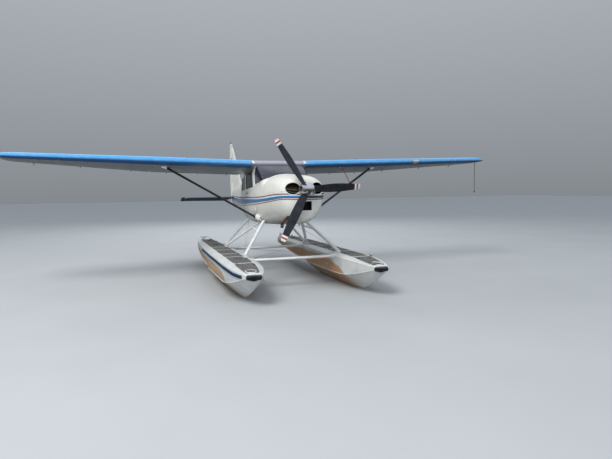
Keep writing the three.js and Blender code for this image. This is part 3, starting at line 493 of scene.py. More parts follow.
def tail_paint():
    g = Graph("tail_paint")
    x, y, z = g.place(AIR)
    nz = g.split(g.coord("Normal"))[2]
    side = g.away(x)
    dots = g.largest(rivets(g, g.to_grid(x, 0.30), y, 0.05), rivets(g, g.to_grid(z, 0.35, 0.3), y, 0.05))
    # painted shade: the stabiliser's underside is dark navy
    stab = g.mul(g.rise(side, 0.12, 0.125), g.fall(g.away(z, 0.052), 0.036, 0.042))
    colour = g.mix(g.mul(stab, g.rise(nz, 0.15, -0.1)), aged(g, WHITE, 0.45), TAIL_BLUE_AND_SHADE)
    # the stabiliser's leading edge is blue paint, darkened to dark blue as painted shade
    lead = g.fall(g.sub(y, g.curve(side, STABILISER_LEAD)), 0.30, 0.305)
    colour = g.mix(g.mul(stab, lead), colour, (0.015, 0.03, 0.085))
    colour = g.mix(g.mul(dots, 0.28), colour, RIVET)
    return g.set(color=colour, rough=gloss(g, 10.0, 0.26, 0.44),
                 normal=g.bump(g.add(g.mul(dots, 0.6), g.noise(6.0, 2)), 0.35, 0.003))


HULL_SEAMS = (-1.45, -0.6, 0.45, 1.35, 2.4, 3.4)
SCUM_LINE = [(-1.70, 0.14), (-0.90, 0.30), (-0.55, 0.425), (-0.15, 0.465), (4.45, 0.455)]
HULL_STRIPE = [(-1.75, 0.556), (-1.3, 0.568), (-0.6, 0.592), (1.85, 0.584), (4.45, 0.550)]
# the stripe's bands: how far below its line each starts and ends, and its colour
HULL_BANDS = [
    (-0.004, 0.110, (0.70, 0.72, 0.72)),
    (0.010, 0.074, (0.014, 0.040, 0.11)),
    (0.088, 0.100, (0.25, 0.38, 0.50)),
]


def float_paint():
    g = Graph("float_paint")
    x, y, z = g.place(FLOAT)
    nz = g.split(g.coord("Normal"))[2]
    side = g.away(x)
    dots = g.largest(rivets(g, g.to_grid(y, 0.30), g.add(z, g.mul(side, 0.7)), 0.035),
                     rivets(g, g.to_grid(g.sub(z, 0.02), 0.145), y, 0.035))
    seams = g.largest(*[g.near(y, at, 0.002) for at in HULL_SEAMS])
    stain, fine = g.noise(3.2, 6, 0.65), g.noise(26.0, 5, 0.6)
    colour = g.mix(g.rise(stain, 0.35, 0.75), (0.74, 0.76, 0.76), (0.62, 0.63, 0.61))
    # the bottom below the waterline is tan and brown with scum, whiter towards the bow
    inboard = g.mul(g.fall(side, 1.0, 1.1), g.rise(y, -0.40, 0.0), 0.06)
    line = g.add(g.curve(y, SCUM_LINE), inboard, g.mul(g.sub(stain, 0.5), 0.10))
    wet = g.mul(g.fall(g.sub(z, line), -0.03, 0.03), g.fall(nz, 0.5, 0.7))
    rust = g.noise(5.0, 4, 0.7, stretch=(1, 0.35, 3))
    tan = g.mix(g.rise(fine, 0.3, 0.7), (0.50, 0.33, 0.17), (0.40, 0.21, 0.10))
    tan = g.mix(g.rise(stain, 0.52, 0.62), tan, (0.47, 0.41, 0.31))
    tan = g.mix(g.mul(g.rise(rust, 0.50, 0.58), g.fall(side, 1.1, 1.2)), tan, (0.66, 0.20, 0.05))
    tan = g.mix(g.mul(g.rise(rust, 0.56, 0.62), g.rise(side, 1.2, 1.3)), tan, (0.72, 0.36, 0.12))
    cover = g.mul(wet, g.rise(y, -1.3, -0.6), g.blend(g.rise(fine, 0.25, 0.6), 0.72, 0.95))
    colour = g.mix(cover, colour, tan)
    colour = g.mix(g.mul(wet, g.rise(y, -0.6, -1.6), 0.35), colour, (0.48, 0.44, 0.36))
    # a navy stripe with a white and a blue-grey line on the outboard side
    outboard = g.mul(g.rise(side, 1.34, 1.36), g.fall(g.away(nz), 0.4, 0.6), g.fall(y, 2.6, 2.62))
    drop = g.sub(g.curve(y, HULL_STRIPE), z)
    for low, high, tone in HULL_BANDS:
        colour = g.mix(g.mul(outboard, g.between(drop, low, high)), colour, tone)
    scuff = g.mul(g.rise(g.noise(14.0, 5, 0.7), 0.62, 0.70), 0.5, g.rise(nz, -0.2, 0.5))
    colour = g.mix(scuff, colour, (0.42, 0.41, 0.38))
    colour = g.mix(g.mul(seams, 0.5), colour, (0.2, 0.2, 0.19))
    colour = g.mix(g.mul(dots, 0.3), colour, (0.32, 0.32, 0.31))
    height = g.add(g.mul(dots, 0.8), g.mul(seams, -0.8), g.mul(fine, 0.5))
    return g.set(color=colour, rough=g.blend(fine, 0.34, 0.58), metal=0.08, normal=g.bump(height, 0.4, 0.003))


def simple(name, base, other, rough, scale=12.0, metal=0.0, bump=0.1, fine=90.0):
    """Two colours mixed by noise, with uneven gloss and a fine grain."""
    g = Graph(name)
    cloud, grain = g.noise(scale, 5, 0.6), g.noise(fine, 3, 0.6)
    return g.set(color=g.mix(g.rise(cloud, 0.35, 0.7), base, other), rough=g.blend(grain, *rough), metal=metal,
                 normal=g.bump(g.add(g.mul(cloud, 0.5), grain), bump, 0.001))


STRUT_CUFF_X = 0.600
TIP_WHITE_FROM = 0.944
TIP_RED = (0.983, 1.012)


def strut_paint():
    g = Graph("strut_paint")
    x = g.place(AIR)[0]
    cloud = g.noise(8.0, 5, 0.6)
    colour = g.mix(g.rise(cloud, 0.4, 0.8), (0.010, 0.012, 0.016), (0.035, 0.040, 0.048))
    # the cuff at the foot is white
    colour = g.mix(g.fall(g.away(x), STRUT_CUFF_X, STRUT_CUFF_X + 0.003), colour, WHITE)
    return g.set(color=colour, rough=g.blend(g.noise(40.0, 3), 0.22, 0.42), normal=g.bump(cloud, 0.15, 0.002),
                 Coat_Weight=0.4)


def blade_paint():
    g = Graph("blade_paint")
    x, _, z = g.place(AIR)
    radius = g.hypot(x, z)
    cloud, grain = g.noise(9.0, 5, 0.65), g.noise(160.0, 2, 0.5)
    colour = g.mix(g.rise(cloud, 0.35, 0.7), (0.014, 0.015, 0.023), (0.030, 0.031, 0.043))
    white = g.mix(g.rise(cloud, 0.4, 0.7), (0.78, 0.72, 0.69), (0.66, 0.58, 0.55))
    colour = g.mix(g.rise(radius, TIP_WHITE_FROM, TIP_WHITE_FROM + 0.002), colour, white)
    colour = g.mix(g.between(radius, *TIP_RED, 0.001), colour, (0.33, 0.035, 0.028))
    chips = g.mul(g.rise(g.noise(70.0, 4, 0.7), 0.66, 0.72), g.rise(radius, 0.4, 1.0), 0.45)
    return g.set(color=g.mix(chips, colour, (0.24, 0.24, 0.24)), rough=g.blend(grain, 0.45, 0.62),
                 normal=g.bump(g.add(grain, cloud), 0.2, 0.001))


def metal_polish():
    g = Graph("polished_metal")
    x, y, z = g.place(AIR)
    turning = g.noise(25.0, 4, vector=g.node("CombineXYZ", 0.0, g.mul(y, 40.0), g.hypot(x, z)))
    smear = g.noise(14.0, 4, 0.6)
    return g.set(color=g.mix(g.rise(smear, 0.3, 0.8), (0.95, 0.94, 0.98), (0.84, 0.83, 0.85)), metal=1.0,
                 rough=g.blend(g.add(g.mul(turning, 0.5), g.mul(smear, 0.5)), 0.10, 0.30),
                 normal=g.bump(turning, 0.05, 0.001))


def glass(name, tint, other, metal, shine):
    g = Graph(name)
    smear = g.noise(3.0, 4, 0.6)
    return g.set(color=g.mix(g.rise(smear, 0.3, 0.8), tint, other), rough=g.blend(smear, 0.0, 0.05), metal=metal,
                 Transmission_Weight=0.97, IOR=1.18 + 0.27 * shine, Specular_IOR_Level=shine)


def cloth(name, base, other):
    g = Graph(name)
    x, y, z = g.split(g.coord())
    threads = [g.math("SINE", g.mul(g.add(a, z), 1400.0)) for a in (x, y)]
    weave = g.mul(*threads)
    cloud = g.noise(9.0, 4)
    colour = g.mix(g.rise(cloud, 0.3, 0.75), base, other)
    colour = g.mix(g.mul(g.rise(weave, 0.0, 0.9), 0.3), colour, (0.06, 0.05, 0.05))
    return g.set(color=colour, rough=0.92, normal=g.bump(g.add(weave, g.mul(cloud, 2.0)), 0.25, 0.001),
                 Sheen_Weight=0.3)


def exhaust_metal():
    g = Graph("exhaust_steel")
    cloud = g.noise(18.0, 5, 0.65)
    heat = g.mix(g.rise(g.place(AIR)[2], -0.74, -0.55), (0.13, 0.085, 0.065), (0.30, 0.22, 0.17))
    return g.set(color=g.mix(g.rise(cloud, 0.3, 0.7), heat, (0.10, 0.055, 0.035)), metal=0.75,
                 rough=g.blend(cloud, 0.38, 0.65), normal=g.bump(cloud, 0.25, 0.001))


def rope_fibre():
    g = Graph("rope_fibre")
    lay = g.math("SINE", g.mul(g.split(g.coord())[2], 420.0))
    colour = g.mix(g.rise(g.noise(60.0, 3), 0.3, 0.7), (0.035, 0.040, 0.055), (0.07, 0.075, 0.09))
    return g.set(color=colour, rough=0.9, normal=g.bump(lay, 0.5, 0.002))


def grey(value, tint):
    return (value, value, value + tint)


MATS = {
    "fuselage": fuselage_paint(),
    "wing": wing_paint("wing_paint", True),
    "roof": wing_paint("roof_paint", False),
    "flap": surface_paint("flap_paint", 0.105),
    "tail": tail_paint(),
    "tail_surface": surface_paint("tail_surface_paint", 0.085),
    "rudder": surface_paint("rudder_paint", 0.085),
    "float": float_paint(),
    "strut": strut_paint(),
    "white": simple("white_fitting", (0.84, 0.86, 0.87), (0.74, 0.76, 0.77), rough=(0.3, 0.45)),
    "blade": blade_paint(),
    "polish": metal_polish(),
    # painted reflection: the windscreen's lavender tint stands in for the sky it reflects
    "glass": glass("windscreen_glass", (0.52, 0.50, 0.60), (0.42, 0.41, 0.49), 0.15, 1.0),
    "side_glass": glass("side_window_glass", (0.09, 0.125, 0.125), (0.055, 0.082, 0.082), 0.0, 0.0),
    "cloth": cloth("seat_cloth", (0.20, 0.18, 0.16), (0.27, 0.24, 0.21)),
    "panel": simple("black_panel", grey(0.014, 0.002), grey(0.03, 0.003), rough=(0.6, 0.8), bump=0.3, fine=300.0),
    "engine": simple("engine_iron", (0.20, 0.12, 0.06), (0.34, 0.24, 0.15), rough=(0.45, 0.7), metal=0.4, bump=0.5),
    "exhaust": exhaust_metal(),
    "rubber": simple("black_rubber", grey(0.010, 0.001), grey(0.03, 0.001), rough=(0.6, 0.85), bump=0.3),
    "rope": rope_fibre(),
    "steel": simple("plain_steel", (0.55, 0.55, 0.54), (0.40, 0.40, 0.39), rough=(0.25, 0.45), metal=0.9),
    "pad": simple("deck_pad", (0.115, 0.112, 0.110), (0.19, 0.18, 0.175), scale=9, rough=(0.8, 0.95), bump=0.9,
                  fine=220.0),
    "red": simple("red_cover", (0.30, 0.025, 0.022), (0.20, 0.018, 0.016), rough=(0.5, 0.7)),
    "beacon": simple("beacon_glass", (0.10, 0.010, 0.010), (0.06, 0.008, 0.008), rough=(0.08, 0.15)),
    "filter": simple("filter_foam", (0.012, 0.011, 0.011), (0.03, 0.026, 0.024), rough=(0.8, 0.95), bump=0.4),
    "dial": simple("dial_face", grey(0.012, 0.001), grey(0.02, 0.002), rough=(0.05, 0.1), bump=0.0),
    "lens": simple("lamp_glass", (0.80, 0.82, 0.84), (0.62, 0.64, 0.68), rough=(0.04, 0.1), metal=0.5, bump=0.05),
    "green": simple("green_lens", (0.01, 0.30, 0.12), (0.01, 0.22, 0.09), rough=(0.08, 0.15)),
}

# which CAD nodes get each material; * stands for left and right
FINISH = {
    "fuselage": "cowling firewall belly_pan windscreen_deck cabin_side_* cabin_rear door_* tail_cone",
    "wing": "wing_*",
    "roof": "wing_centre",
    "flap": "flap_* aileron_*",
    "tail": "fin stabiliser_*",
    "tail_surface": "elevator",
    "rudder": "rudder",
    "float": "float_hull_*",
    "white": "spreader_bar_front spreader_bar_rear float_strut_front_* float_strut_rear_* "
             "float_strut_diagonal_* water_rudder_blade_*",
    "strut": "wing_strut_*",
    "blade": "blade_1 blade_2 blade_3",
    "polish": "spinner",
    "glass": "windscreen",
    "side_glass": "quarter_window_* door_window_*",
    "cloth": "seat_* rear_bench",
    "panel": "instrument_panel",
    "engine": "engine_block",
    "exhaust": "exhaust_pipe",
    "rubber": "bow_bumper_*",
    "rope": "grab_rope_left",
    "steel": "water_rudder_post_*",
}


WELD_WITHIN = 0.00002
SHALLOW = math.radians(32)


def smoothing_group():
    """Joins the split corners and shades smooth across shallow edges; no corner moves."""
    tree = bpy.data.node_groups.new("smooth_skin", "GeometryNodeTree")
    for way in ("INPUT", "OUTPUT"):
        tree.interface.new_socket("Geometry", in_out=way, socket_type="NodeSocketGeometry")
    kinds = ("NodeGroupInput", "GeometryNodeMergeByDistance", "GeometryNodeRemoveAttribute",
             "GeometryNodeSetShadeSmooth", "GeometryNodeSetShadeSmooth", "NodeGroupOutput",
             "GeometryNodeInputMeshEdgeAngle", "FunctionNodeCompare")
    start, weld, drop, faces, edges, end, angle, limit = [tree.nodes.new(kind) for kind in kinds]
    weld.inputs["Distance"].default_value = WELD_WITHIN
    drop.inputs["Name"].default_value = "custom_normal"
    faces.domain, edges.domain = "FACE", "EDGE"
    limit.data_type, limit.operation = "FLOAT", "LESS_THAN"
    limit.inputs[1].default_value = SHALLOW
    for a, b in ((start, weld), (weld, drop), (drop, faces), (faces, edges), (edges, end), (angle, limit)):
        tree.links.new(a.outputs[0], b.inputs[0])
    tree.links.new(limit.outputs[0], edges.inputs["Shade Smooth"])
    return tree


def dress_frame():
    group = smoothing_group()
    for key, names in FINISH.items():
        for name in names.split():
            for side in ("left", "right") if "*" in name else ("",):
                node = NODES[name.replace("*", side)]
                node.data.materials.clear()
                node.data.materials.append(MATS[key])
                node.modifiers.new("smooth", "NODES").node_group = group


# where rays start: this far to a side of the aeroplane, or this far back from a point
BESIDE = 1.2
RAY_BACK = 3


class Skin:
    """The outside of some CAD nodes, to set pieces on."""

    def __init__(self, *names):
        corners, faces = [], []
        for name in names:
            node = NODES[name]
            start = len(corners)
            corners += [node.matrix_world @ v.co for v in node.data.vertices]
            faces += [[start + i for i in face.vertices] for face in node.data.polygons]
        self.tree = BVHTree.FromPolygons(corners, faces)

    def hit(self, start, way):
        """Where a ray first meets the skin: the point and the normal against the ray."""
        place, normal, _, _ = self.tree.ray_cast(start, way)
        if place is None:
            return None, None
        return place, -normal if normal.dot(way) > 0 else normal

    def from_side(self, sign, y, z):
        return self.hit(air(sign * BESIDE, y, z), PORT * -sign)

    def points(self, points, way, lift=0.0):
        """Points carried along a direction until they meet the skin."""
        hits = [self.hit(point - way * RAY_BACK, way) for point in points]
        return [place + normal * lift for place, normal in hits if place is not None]

    def grid(self, rows, way):
        """Rows of points as rows of (place, normal) on the skin, or None where one misses."""
        made = [[self.hit(point - way * RAY_BACK, way) for point in row] for row in rows]
        return None if any(place is None for row in made for place, _ in row) else made


def ring(centre, u, v, count):
    """Points round an ellipse with half axes u and v."""
    turns = [2 * math.pi * k / count for k in range(count)]
    return [centre + u * math.cos(turn) + v * math.sin(turn) for turn in turns]


SMOOTH_BELOW = math.radians(38)
BEVEL = 0.3


class Piece:
    """One look piece: corners and faces gathered from several forms, then made an object that rides."""

    def __init__(self, name, material, body="airframe"):
        self.name, self.material, self.body = name, material, body
        self.corners, self.faces = [], []

    def add(self, corners, faces):
        start = len(self.corners)
        self.corners += [Vector(c) for c in corners]
        self.faces += [[start + i for i in face] for face in faces]
        return self

    def rings(self, rings, closed=False):
        """A skin over rings of equally many points, capped unless it closes on itself."""
        count, total = len(rings[0]), len(rings)
        faces = []
        for r in range(total if closed else total - 1):
            for i in range(count):
                j = (i + 1) % count
                n = (r + 1) % total
                faces.append([r * count + i, r * count + j, n * count + j, n * count + i])
        if not closed:
            faces.append(list(range(count))[::-1])
            faces.append([(total - 1) * count + i for i in range(count)])
        return self.add([c for one in rings for c in one], faces)

    def tube(self, points, radius, sides=8, closed=False, flat=1.0):
        """A round or flattened tube along points; radius may be a list."""
        points = [Vector(p) for p in points]
        count = len(points)
        radii = radius if isinstance(radius, (list, tuple)) else [radius] * count
        made, across = [], None
        for i, point in enumerate(points):
            before = points[i - 1] if i or closed else point
            after = points[(i + 1) % count] if i < count - 1 or closed else point
            way = (after - before).normalized()
            if across is None:
                across = way.orthogonal().normalized()
            across = (across - way * across.dot(way)).normalized()
            made.append(ring(point, across * radii[i], way.cross(across) * (flat * radii[i]), sides))
        return self.rings(made, closed)

    def lathe(self, centre, axis, profile, sides=20):
        """A turned form: profile gives (distance along the axis, radius)."""
        axis = Vector(axis).normalized()
        across = axis.orthogonal().normalized()
        up = axis.cross(across)
        centre = Vector(centre)
        return self.rings([ring(centre + axis * t, across * r, up * r, sides) for t, r in profile])

    def block(self, centre, half, axes=(PORT, AFT, UP)):
        """A bevelled block about a centre, with half sizes along three axes."""
        axes = [Vector(a).normalized() for a in axes]
        cut = min(half) * BEVEL
        made = []
        for z, shrink in ((-1, cut), (-1, 0), (1, 0), (1, cut)):
            step = half[2] - (0 if shrink else cut)
            one = []
            for sx, sy in ((-1, -1), (1, -1), (1, 1), (-1, 1)):
                for first in ((0, 1) if sx * sy > 0 else (1, 0)):
                    dx = half[0] - shrink - (cut if first else 0)
                    dy = half[1] - shrink - (0 if first else cut)
                    one.append(centre + axes[0] * sx * dx + axes[1] * sy * dy + axes[2] * z * step)
            made.append(one)
        return self.rings(made)

    def sheet(self, rows, lift, thick):
        """A plate on a skin from rows of (point, normal): lifted off it, with sides down to it."""
        width, height = len(rows[0]), len(rows)
        top = [p + n * lift for row in rows for p, n in row]
        low = [p - n * thick for row in rows for p, n in row]
        cells = [r * width + i for r in range(height - 1) for i in range(width - 1)]
        faces = [[a, a + 1, a + width + 1, a + width] for a in cells]
        rim = list(range(width)) + [r * width + width - 1 for r in range(1, height)]
        rim += [(height - 1) * width + i for i in range(width - 2, -1, -1)]
        rim += [r * width for r in range(height - 2, 0, -1)]
        total = len(top)
        faces += [[a, b, b + total, a + total] for a, b in zip(rim, rim[1:] + rim[:1])]
        return self.add(top + low, faces)

    def make(self):
        mesh = bpy.data.meshes.new(self.name)
        mesh.from_pydata([tuple(c) for c in self.corners], [], self.faces)
        made = bmesh.new()
        made.from_mesh(mesh)
        bmesh.ops.recalc_face_normals(made, faces=made.faces)
        for face in made.faces:
            face.smooth = True
        for edge in made.edges:
            edge.smooth = len(edge.link_faces) == 2 and edge.calc_face_angle(0) < SMOOTH_BELOW
        made.to_mesh(mesh)
        made.free()
        mesh.materials.append(MATS[self.material])
        thing = bpy.data.objects.new(self.name, mesh)
        scene.collection.objects.link(thing)
        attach(thing, self.body)
        return thing


def along(points, step):
    """Points every step along a line through points."""
    points = [Vector(p) for p in points]
    made = [points[0]]
    for a, b in zip(points, points[1:]):
        parts = max(1, round((b - a).length / step))
        made += [a.lerp(b, k / parts) for k in range(1, parts + 1)]
    return made


def wing_at(x, share):
    """A point on the wing's chord line: station and share of the chord."""
    span = abs(x)
    out = max(0.0, (span - WING["kink"]) / (WING["tip_start"] - WING["kink"]))
    chord = WING["root"] + (WING["tip"] - WING["root"]) * out
    lead = WING["lead"] + WING["sweep"] * out
    turn = math.radians(INCIDENCE - WASHOUT * out)
    drop = chord * share * math.sin(turn)
    return air(x, lead + chord * share * math.cos(turn), WING_Z + span * math.tan(DIHEDRAL) - drop)


def spoke(turn):
    """A direction across the propeller's shaft."""
    return PORT * math.cos(turn) + UP * math.sin(turn)


BEFORE_NOSE_Y = -1.5
CYLINDER_Y, CYLINDER_Z = -0.868, 0.018
PROP_Y = -1.15
SPINNER_BASE_Y = PROP_Y + 0.095
FIRST_BLADE = 122.3
# the last stretch of the exhaust pipe
EXHAUST_END = Vector((-0.335, -0.600, -0.622)), Vector((-0.338, -0.585, -0.708))


def engine_details():
    fins = Piece("engine_cylinder_fins", "engine")
    rods = Piece("engine_push_rods", "steel")
    lead = Piece("ignition_leads", "rubber")
    seal = Piece("baffle_seal", "rubber")
    fin = [(-0.002, 0.058), (-0.0015, 0.066), (0.0015, 0.066), (0.002, 0.058)]
    for sign in (1, -1):
        for k in range(15):
            fins.lathe(air(sign * (0.118 + k * 0.0145), CYLINDER_Y, CYLINDER_Z), PORT, fin, 24)
        fins.lathe(air(sign * 0.212, CYLINDER_Y, CYLINDER_Z), PORT, [(-0.12, 0.046), (0.12, 0.046)])
        head = [(-0.012, 0.058), (0.004, 0.064), (0.014, 0.052)]
        fins.lathe(air(sign * 0.330, CYLINDER_Y, CYLINDER_Z), PORT, head)
        for z in (-0.034, 0.012):
            rods.tube([air(sign * 0.10, -0.945, z - 0.03), air(sign * 0.32, -0.938, z)], 0.009)
        route = [(0.31, -0.93, 0.05), (0.27, -0.958, 0.075), (0.18, -0.960, 0.068), (0.11, -0.93, 0.03)]
        lead.tube([air(sign * x, y, z) for x, y, z in route], 0.0045)
        rows = []
        for j in range(3):
            spots = [(sign * (0.090 + i * 0.034), 0.108 - 0.003 * (i - 4) ** 2 + 0.004 * j) for i in range(9)]
            rows.append([(air(x, -0.972 + j * 0.085, z), UP) for x, z in spots])
        seal.sheet(rows, 0.002, 0.002)
    for piece in (fins, rods, lead, seal):
        piece.make()


def nose_details():
    cowl = Skin("cowling")
    lips = Piece("cowl_inlet_lips", "white")
    for sign in (1, -1):
        loop = ring(air(sign * 0.234, BEFORE_NOSE_Y, 0.019), PORT * 0.1395, UP * 0.1155, 48)
        lips.tube(cowl.points(loop, AFT, -0.002), 0.0075, closed=True)
    lips.make()
    engine_details()
    # intake frame and its pleated filter
    corners = [(-0.122, -0.392), (0.122, -0.392), (0.122, -0.214), (-0.122, -0.214), (-0.122, -0.392)]
    loop = along([(x, BEFORE_NOSE_Y, z) for x, z in corners], 0.02)[:-1]
    loop = cowl.points([air(p.x * 1.03, p.y, p.z) for p in loop], AFT, -0.001)
    Piece("intake_frame", "white").tube(loop, 0.0065, 6, closed=True).make()
    filt = Piece("intake_filter", "filter")
    for k in range(26):
        filt.block(air(-0.115 + k * 0.0092, -0.936, -0.303), (0.0024, 0.018, 0.088))
    filt.block(air(0, -0.915, -0.303), (0.120, 0.008, 0.089)).make()
    # fasteners along the cowl's split and its rear edge, the oil door and its latches
    buttons = Piece("cowl_fasteners", "steel")
    for sign in (1, -1):
        for k in range(6):
            spot = cowl.from_side(sign, -0.90 + k * 0.17, SPLIT_LINE_Z)
            buttons.lathe(*spot, [(-0.002, 0.011), (0.0015, 0.011), (0.003, 0.007)], 14)
            for z in (-0.28, 0.2):
                spot = cowl.from_side(sign, -0.045, z - 0.03 * k)
                buttons.lathe(*spot, [(-0.001, 0.005), (0.001, 0.005), (0.002, 0.003)], 10)
    steps = [i / 4 - 1 for i in range(9)]
    rows = [[air(-0.22, -0.42, 0.6) + PORT * 0.062 * a + AFT * 0.078 * b for a in steps] for b in steps]
    Piece("oil_door", "fuselage").sheet(cowl.grid(rows, DOWN), 0.0025, 0.001).make()
    line = cowl.points(along([air(-0.160, -0.49, 0.6), air(-0.160, -0.35, 0.6)], 0.02), DOWN, 0.002)
    Piece("oil_door_hinge", "steel").tube(line, 0.0032).make()
    for dy in (-0.05, 0.05):
        place, normal = cowl.hit(air(-0.268, -0.42 + dy, 0.9), DOWN)
        buttons.lathe(place + normal * 0.002, normal, [(-0.002, 0.008), (0.0015, 0.008), (0.0025, 0.005)], 12)
    buttons.make()
    # breather and drain tubes under the cowl, and the exhaust's clamp
    drains = Piece("drain_tubes", "steel")
    for x, y in ((0.10, -0.30), (-0.06, -0.22), (0.18, -0.12)):
        drains.tube([air(x, y, -0.60), air(x, y + 0.01, -0.665), air(x, y + 0.03, -0.70)], 0.0075, 10)
    drains.make()
    top, end = EXHAUST_END
    band = [(-0.010, 0.0305), (-0.010, 0.0345), (0.010, 0.0345), (0.010, 0.0305)]
    clamp = Piece("exhaust_clamp", "steel")
    clamp.lathe(AIR @ top.lerp(end, 0.5), TURN @ (end - top), band, 24).make()


def spinner_details():
    plate = Piece("spinner_backplate", "steel", "propeller")
    rim = [(0, 0.1285), (0.002, 0.1315), (0.010, 0.1315), (0.012, 0.120)]
    plate.lathe(air(0, SPINNER_BASE_Y - 0.010, 0), AFT, rim, 48).make()
    screws = Piece("spinner_screws", "steel", "propeller")
    for k in range(12):
        way = spoke(2 * math.pi * (k + 0.5) / 12)
        place = air(0, SPINNER_BASE_Y - 0.035, 0) + way * 0.1278
        screws.lathe(place, way, [(-0.001, 0.0045), (0.0015, 0.0045), (0.0022, 0.003)], 10)
    screws.make()
    cuffs = Piece("spinner_blade_cuffs", "rubber", "propeller")
    for k in range(3):
        way = spoke(math.radians(FIRST_BLADE - 120 * k))
        loop = ring(air(0, PROP_Y, 0) + way * 0.1255, AFT * 0.052, way.cross(AFT) * 0.048, 24)
        cuffs.tube(loop, 0.0035, 6, closed=True)
    cuffs.make()


# the windows' outlines: y, z
DOOR_WINDOW = [(0.842, 0.140), (1.538, 0.134), (1.538, 0.322), (1.474, 0.446), (0.900, 0.470)]
QUARTER_WINDOW = [(1.690, 0.128), (2.190, 0.112), (2.146, 0.318), (2.050, 0.400), (1.690, 0.424)]
TOUCHING = 0.0013
RIM_STEP = math.radians(3)


def window_details():
    shell = Skin("windscreen_deck", "cabin_side_left", "cabin_side_right", "cabin_rear", "door_left", "door_right",
                 "windscreen", "quarter_window_left", "quarter_window_right", "door_window_left", "door_window_right")
    for side, sign in SIDES:
        for name, body, outline in (("door", f"door_{side}", DOOR_WINDOW), ("quarter", "airframe", QUARTER_WINDOW)):
            loop = along([air(sign * BESIDE, y, z) for y, z in outline + outline[:1]], 0.03)[:-1]
            gasket = Piece(f"{name}_window_gasket_{side}", "rubber", body)
            gasket.tube(shell.points(loop, PORT * -sign, 0.001), 0.0065, 6, closed=True).make()
    # the strip round the foot of the windscreen, through the outermost corner in each step
    foot = Skin("windscreen_deck")
    rim = {}
    pane = NODES["windscreen"]
    for v in pane.data.vertices:
        place = pane.matrix_world @ v.co
        if foot.tree.find_nearest(place)[3] < TOUCHING:
            away = place - air(0, 0.65, 0.3)
            turn = round(math.atan2(away.x, -away.y) / RIM_STEP)
            rim[turn] = max(rim.get(turn, (0, None)), (math.hypot(away.x, away.y), place), key=lambda r: r[0])
    Piece("windscreen_base_strip", "white").tube([rim[k][1] for k in sorted(rim)], 0.009).make()


def door_details():
    for side, sign in SIDES:
        body = f"door_{side}"
        skin, outside = Skin(body), Skin(f"cabin_side_{side}")
        place, normal = skin.from_side(sign, 1.46, 0.03)
        handle = Piece(f"door_handle_{side}", "steel", body)
        handle.block(place + normal * 0.003, (0.020, 0.052, 0.004), (UP, AFT, normal))
        lever = [(0.006, 0.036), (0.022, 0.030), (0.025, 0), (0.022, -0.055)]
        handle.tube([place + normal * a + AFT * b for a, b in lever], [0.009, 0.008, 0.007, 0.006], 10)
        lock = [(-0.001, 0.012), (0.003, 0.012), (0.0045, 0.009)]
        handle.lathe(*skin.from_side(sign, 1.46, -0.05), lock, 16).make()
        grip = [(0.500, 1.06), (0.470, 1.07), (0.470, 1.23), (0.500, 1.24)]
        pull = Piece(f"door_pull_{side}", "rubber", body)
        pull.tube([air(sign * x, y, 0.05) for x, y in grip], 0.008).make()
        hinges = Piece(f"door_hinges_{side}", "white")
        for z in (-0.33, 0.19):
            place, normal = outside.from_side(sign, 0.722, z)
            hinges.tube([place + UP * h + normal * 0.004 for h in (0.045, -0.045)], 0.0075, 10)
            hinges.block(place - AFT * 0.022 + normal * 0.002, (0.020, 0.038, 0.003), (AFT, UP, normal))
        hinges.make()
        place, normal = outside.from_side(sign, 1.02, -0.52)
        plate = Piece(f"step_plate_{side}", "steel")
        plate.block(place + normal * 0.002, (0.14, 0.022, 0.0025), (AFT, UP, normal)).make()


PANEL_Y = 0.3505
# x, z, radius
DIALS = [(x, z, 0.040) for x in (0.16, 0.255, 0.35) for z in (0.185, 0.095)]
DIALS += [(x, z, 0.026) for x in (-0.20, -0.27, -0.34) for z in (0.19, 0.125)]
DIALS += [(-0.22, 0.04, 0.032), (-0.31, 0.04, 0.032)]
# a yoke's grip, the second half mirrored: x, z
YOKE = [(-0.115, 0.10), (-0.135, 0.06), (-0.125, 0.0), (-0.07, -0.025)]
YOKE += [(-x, z) for x, z in reversed(YOKE)]


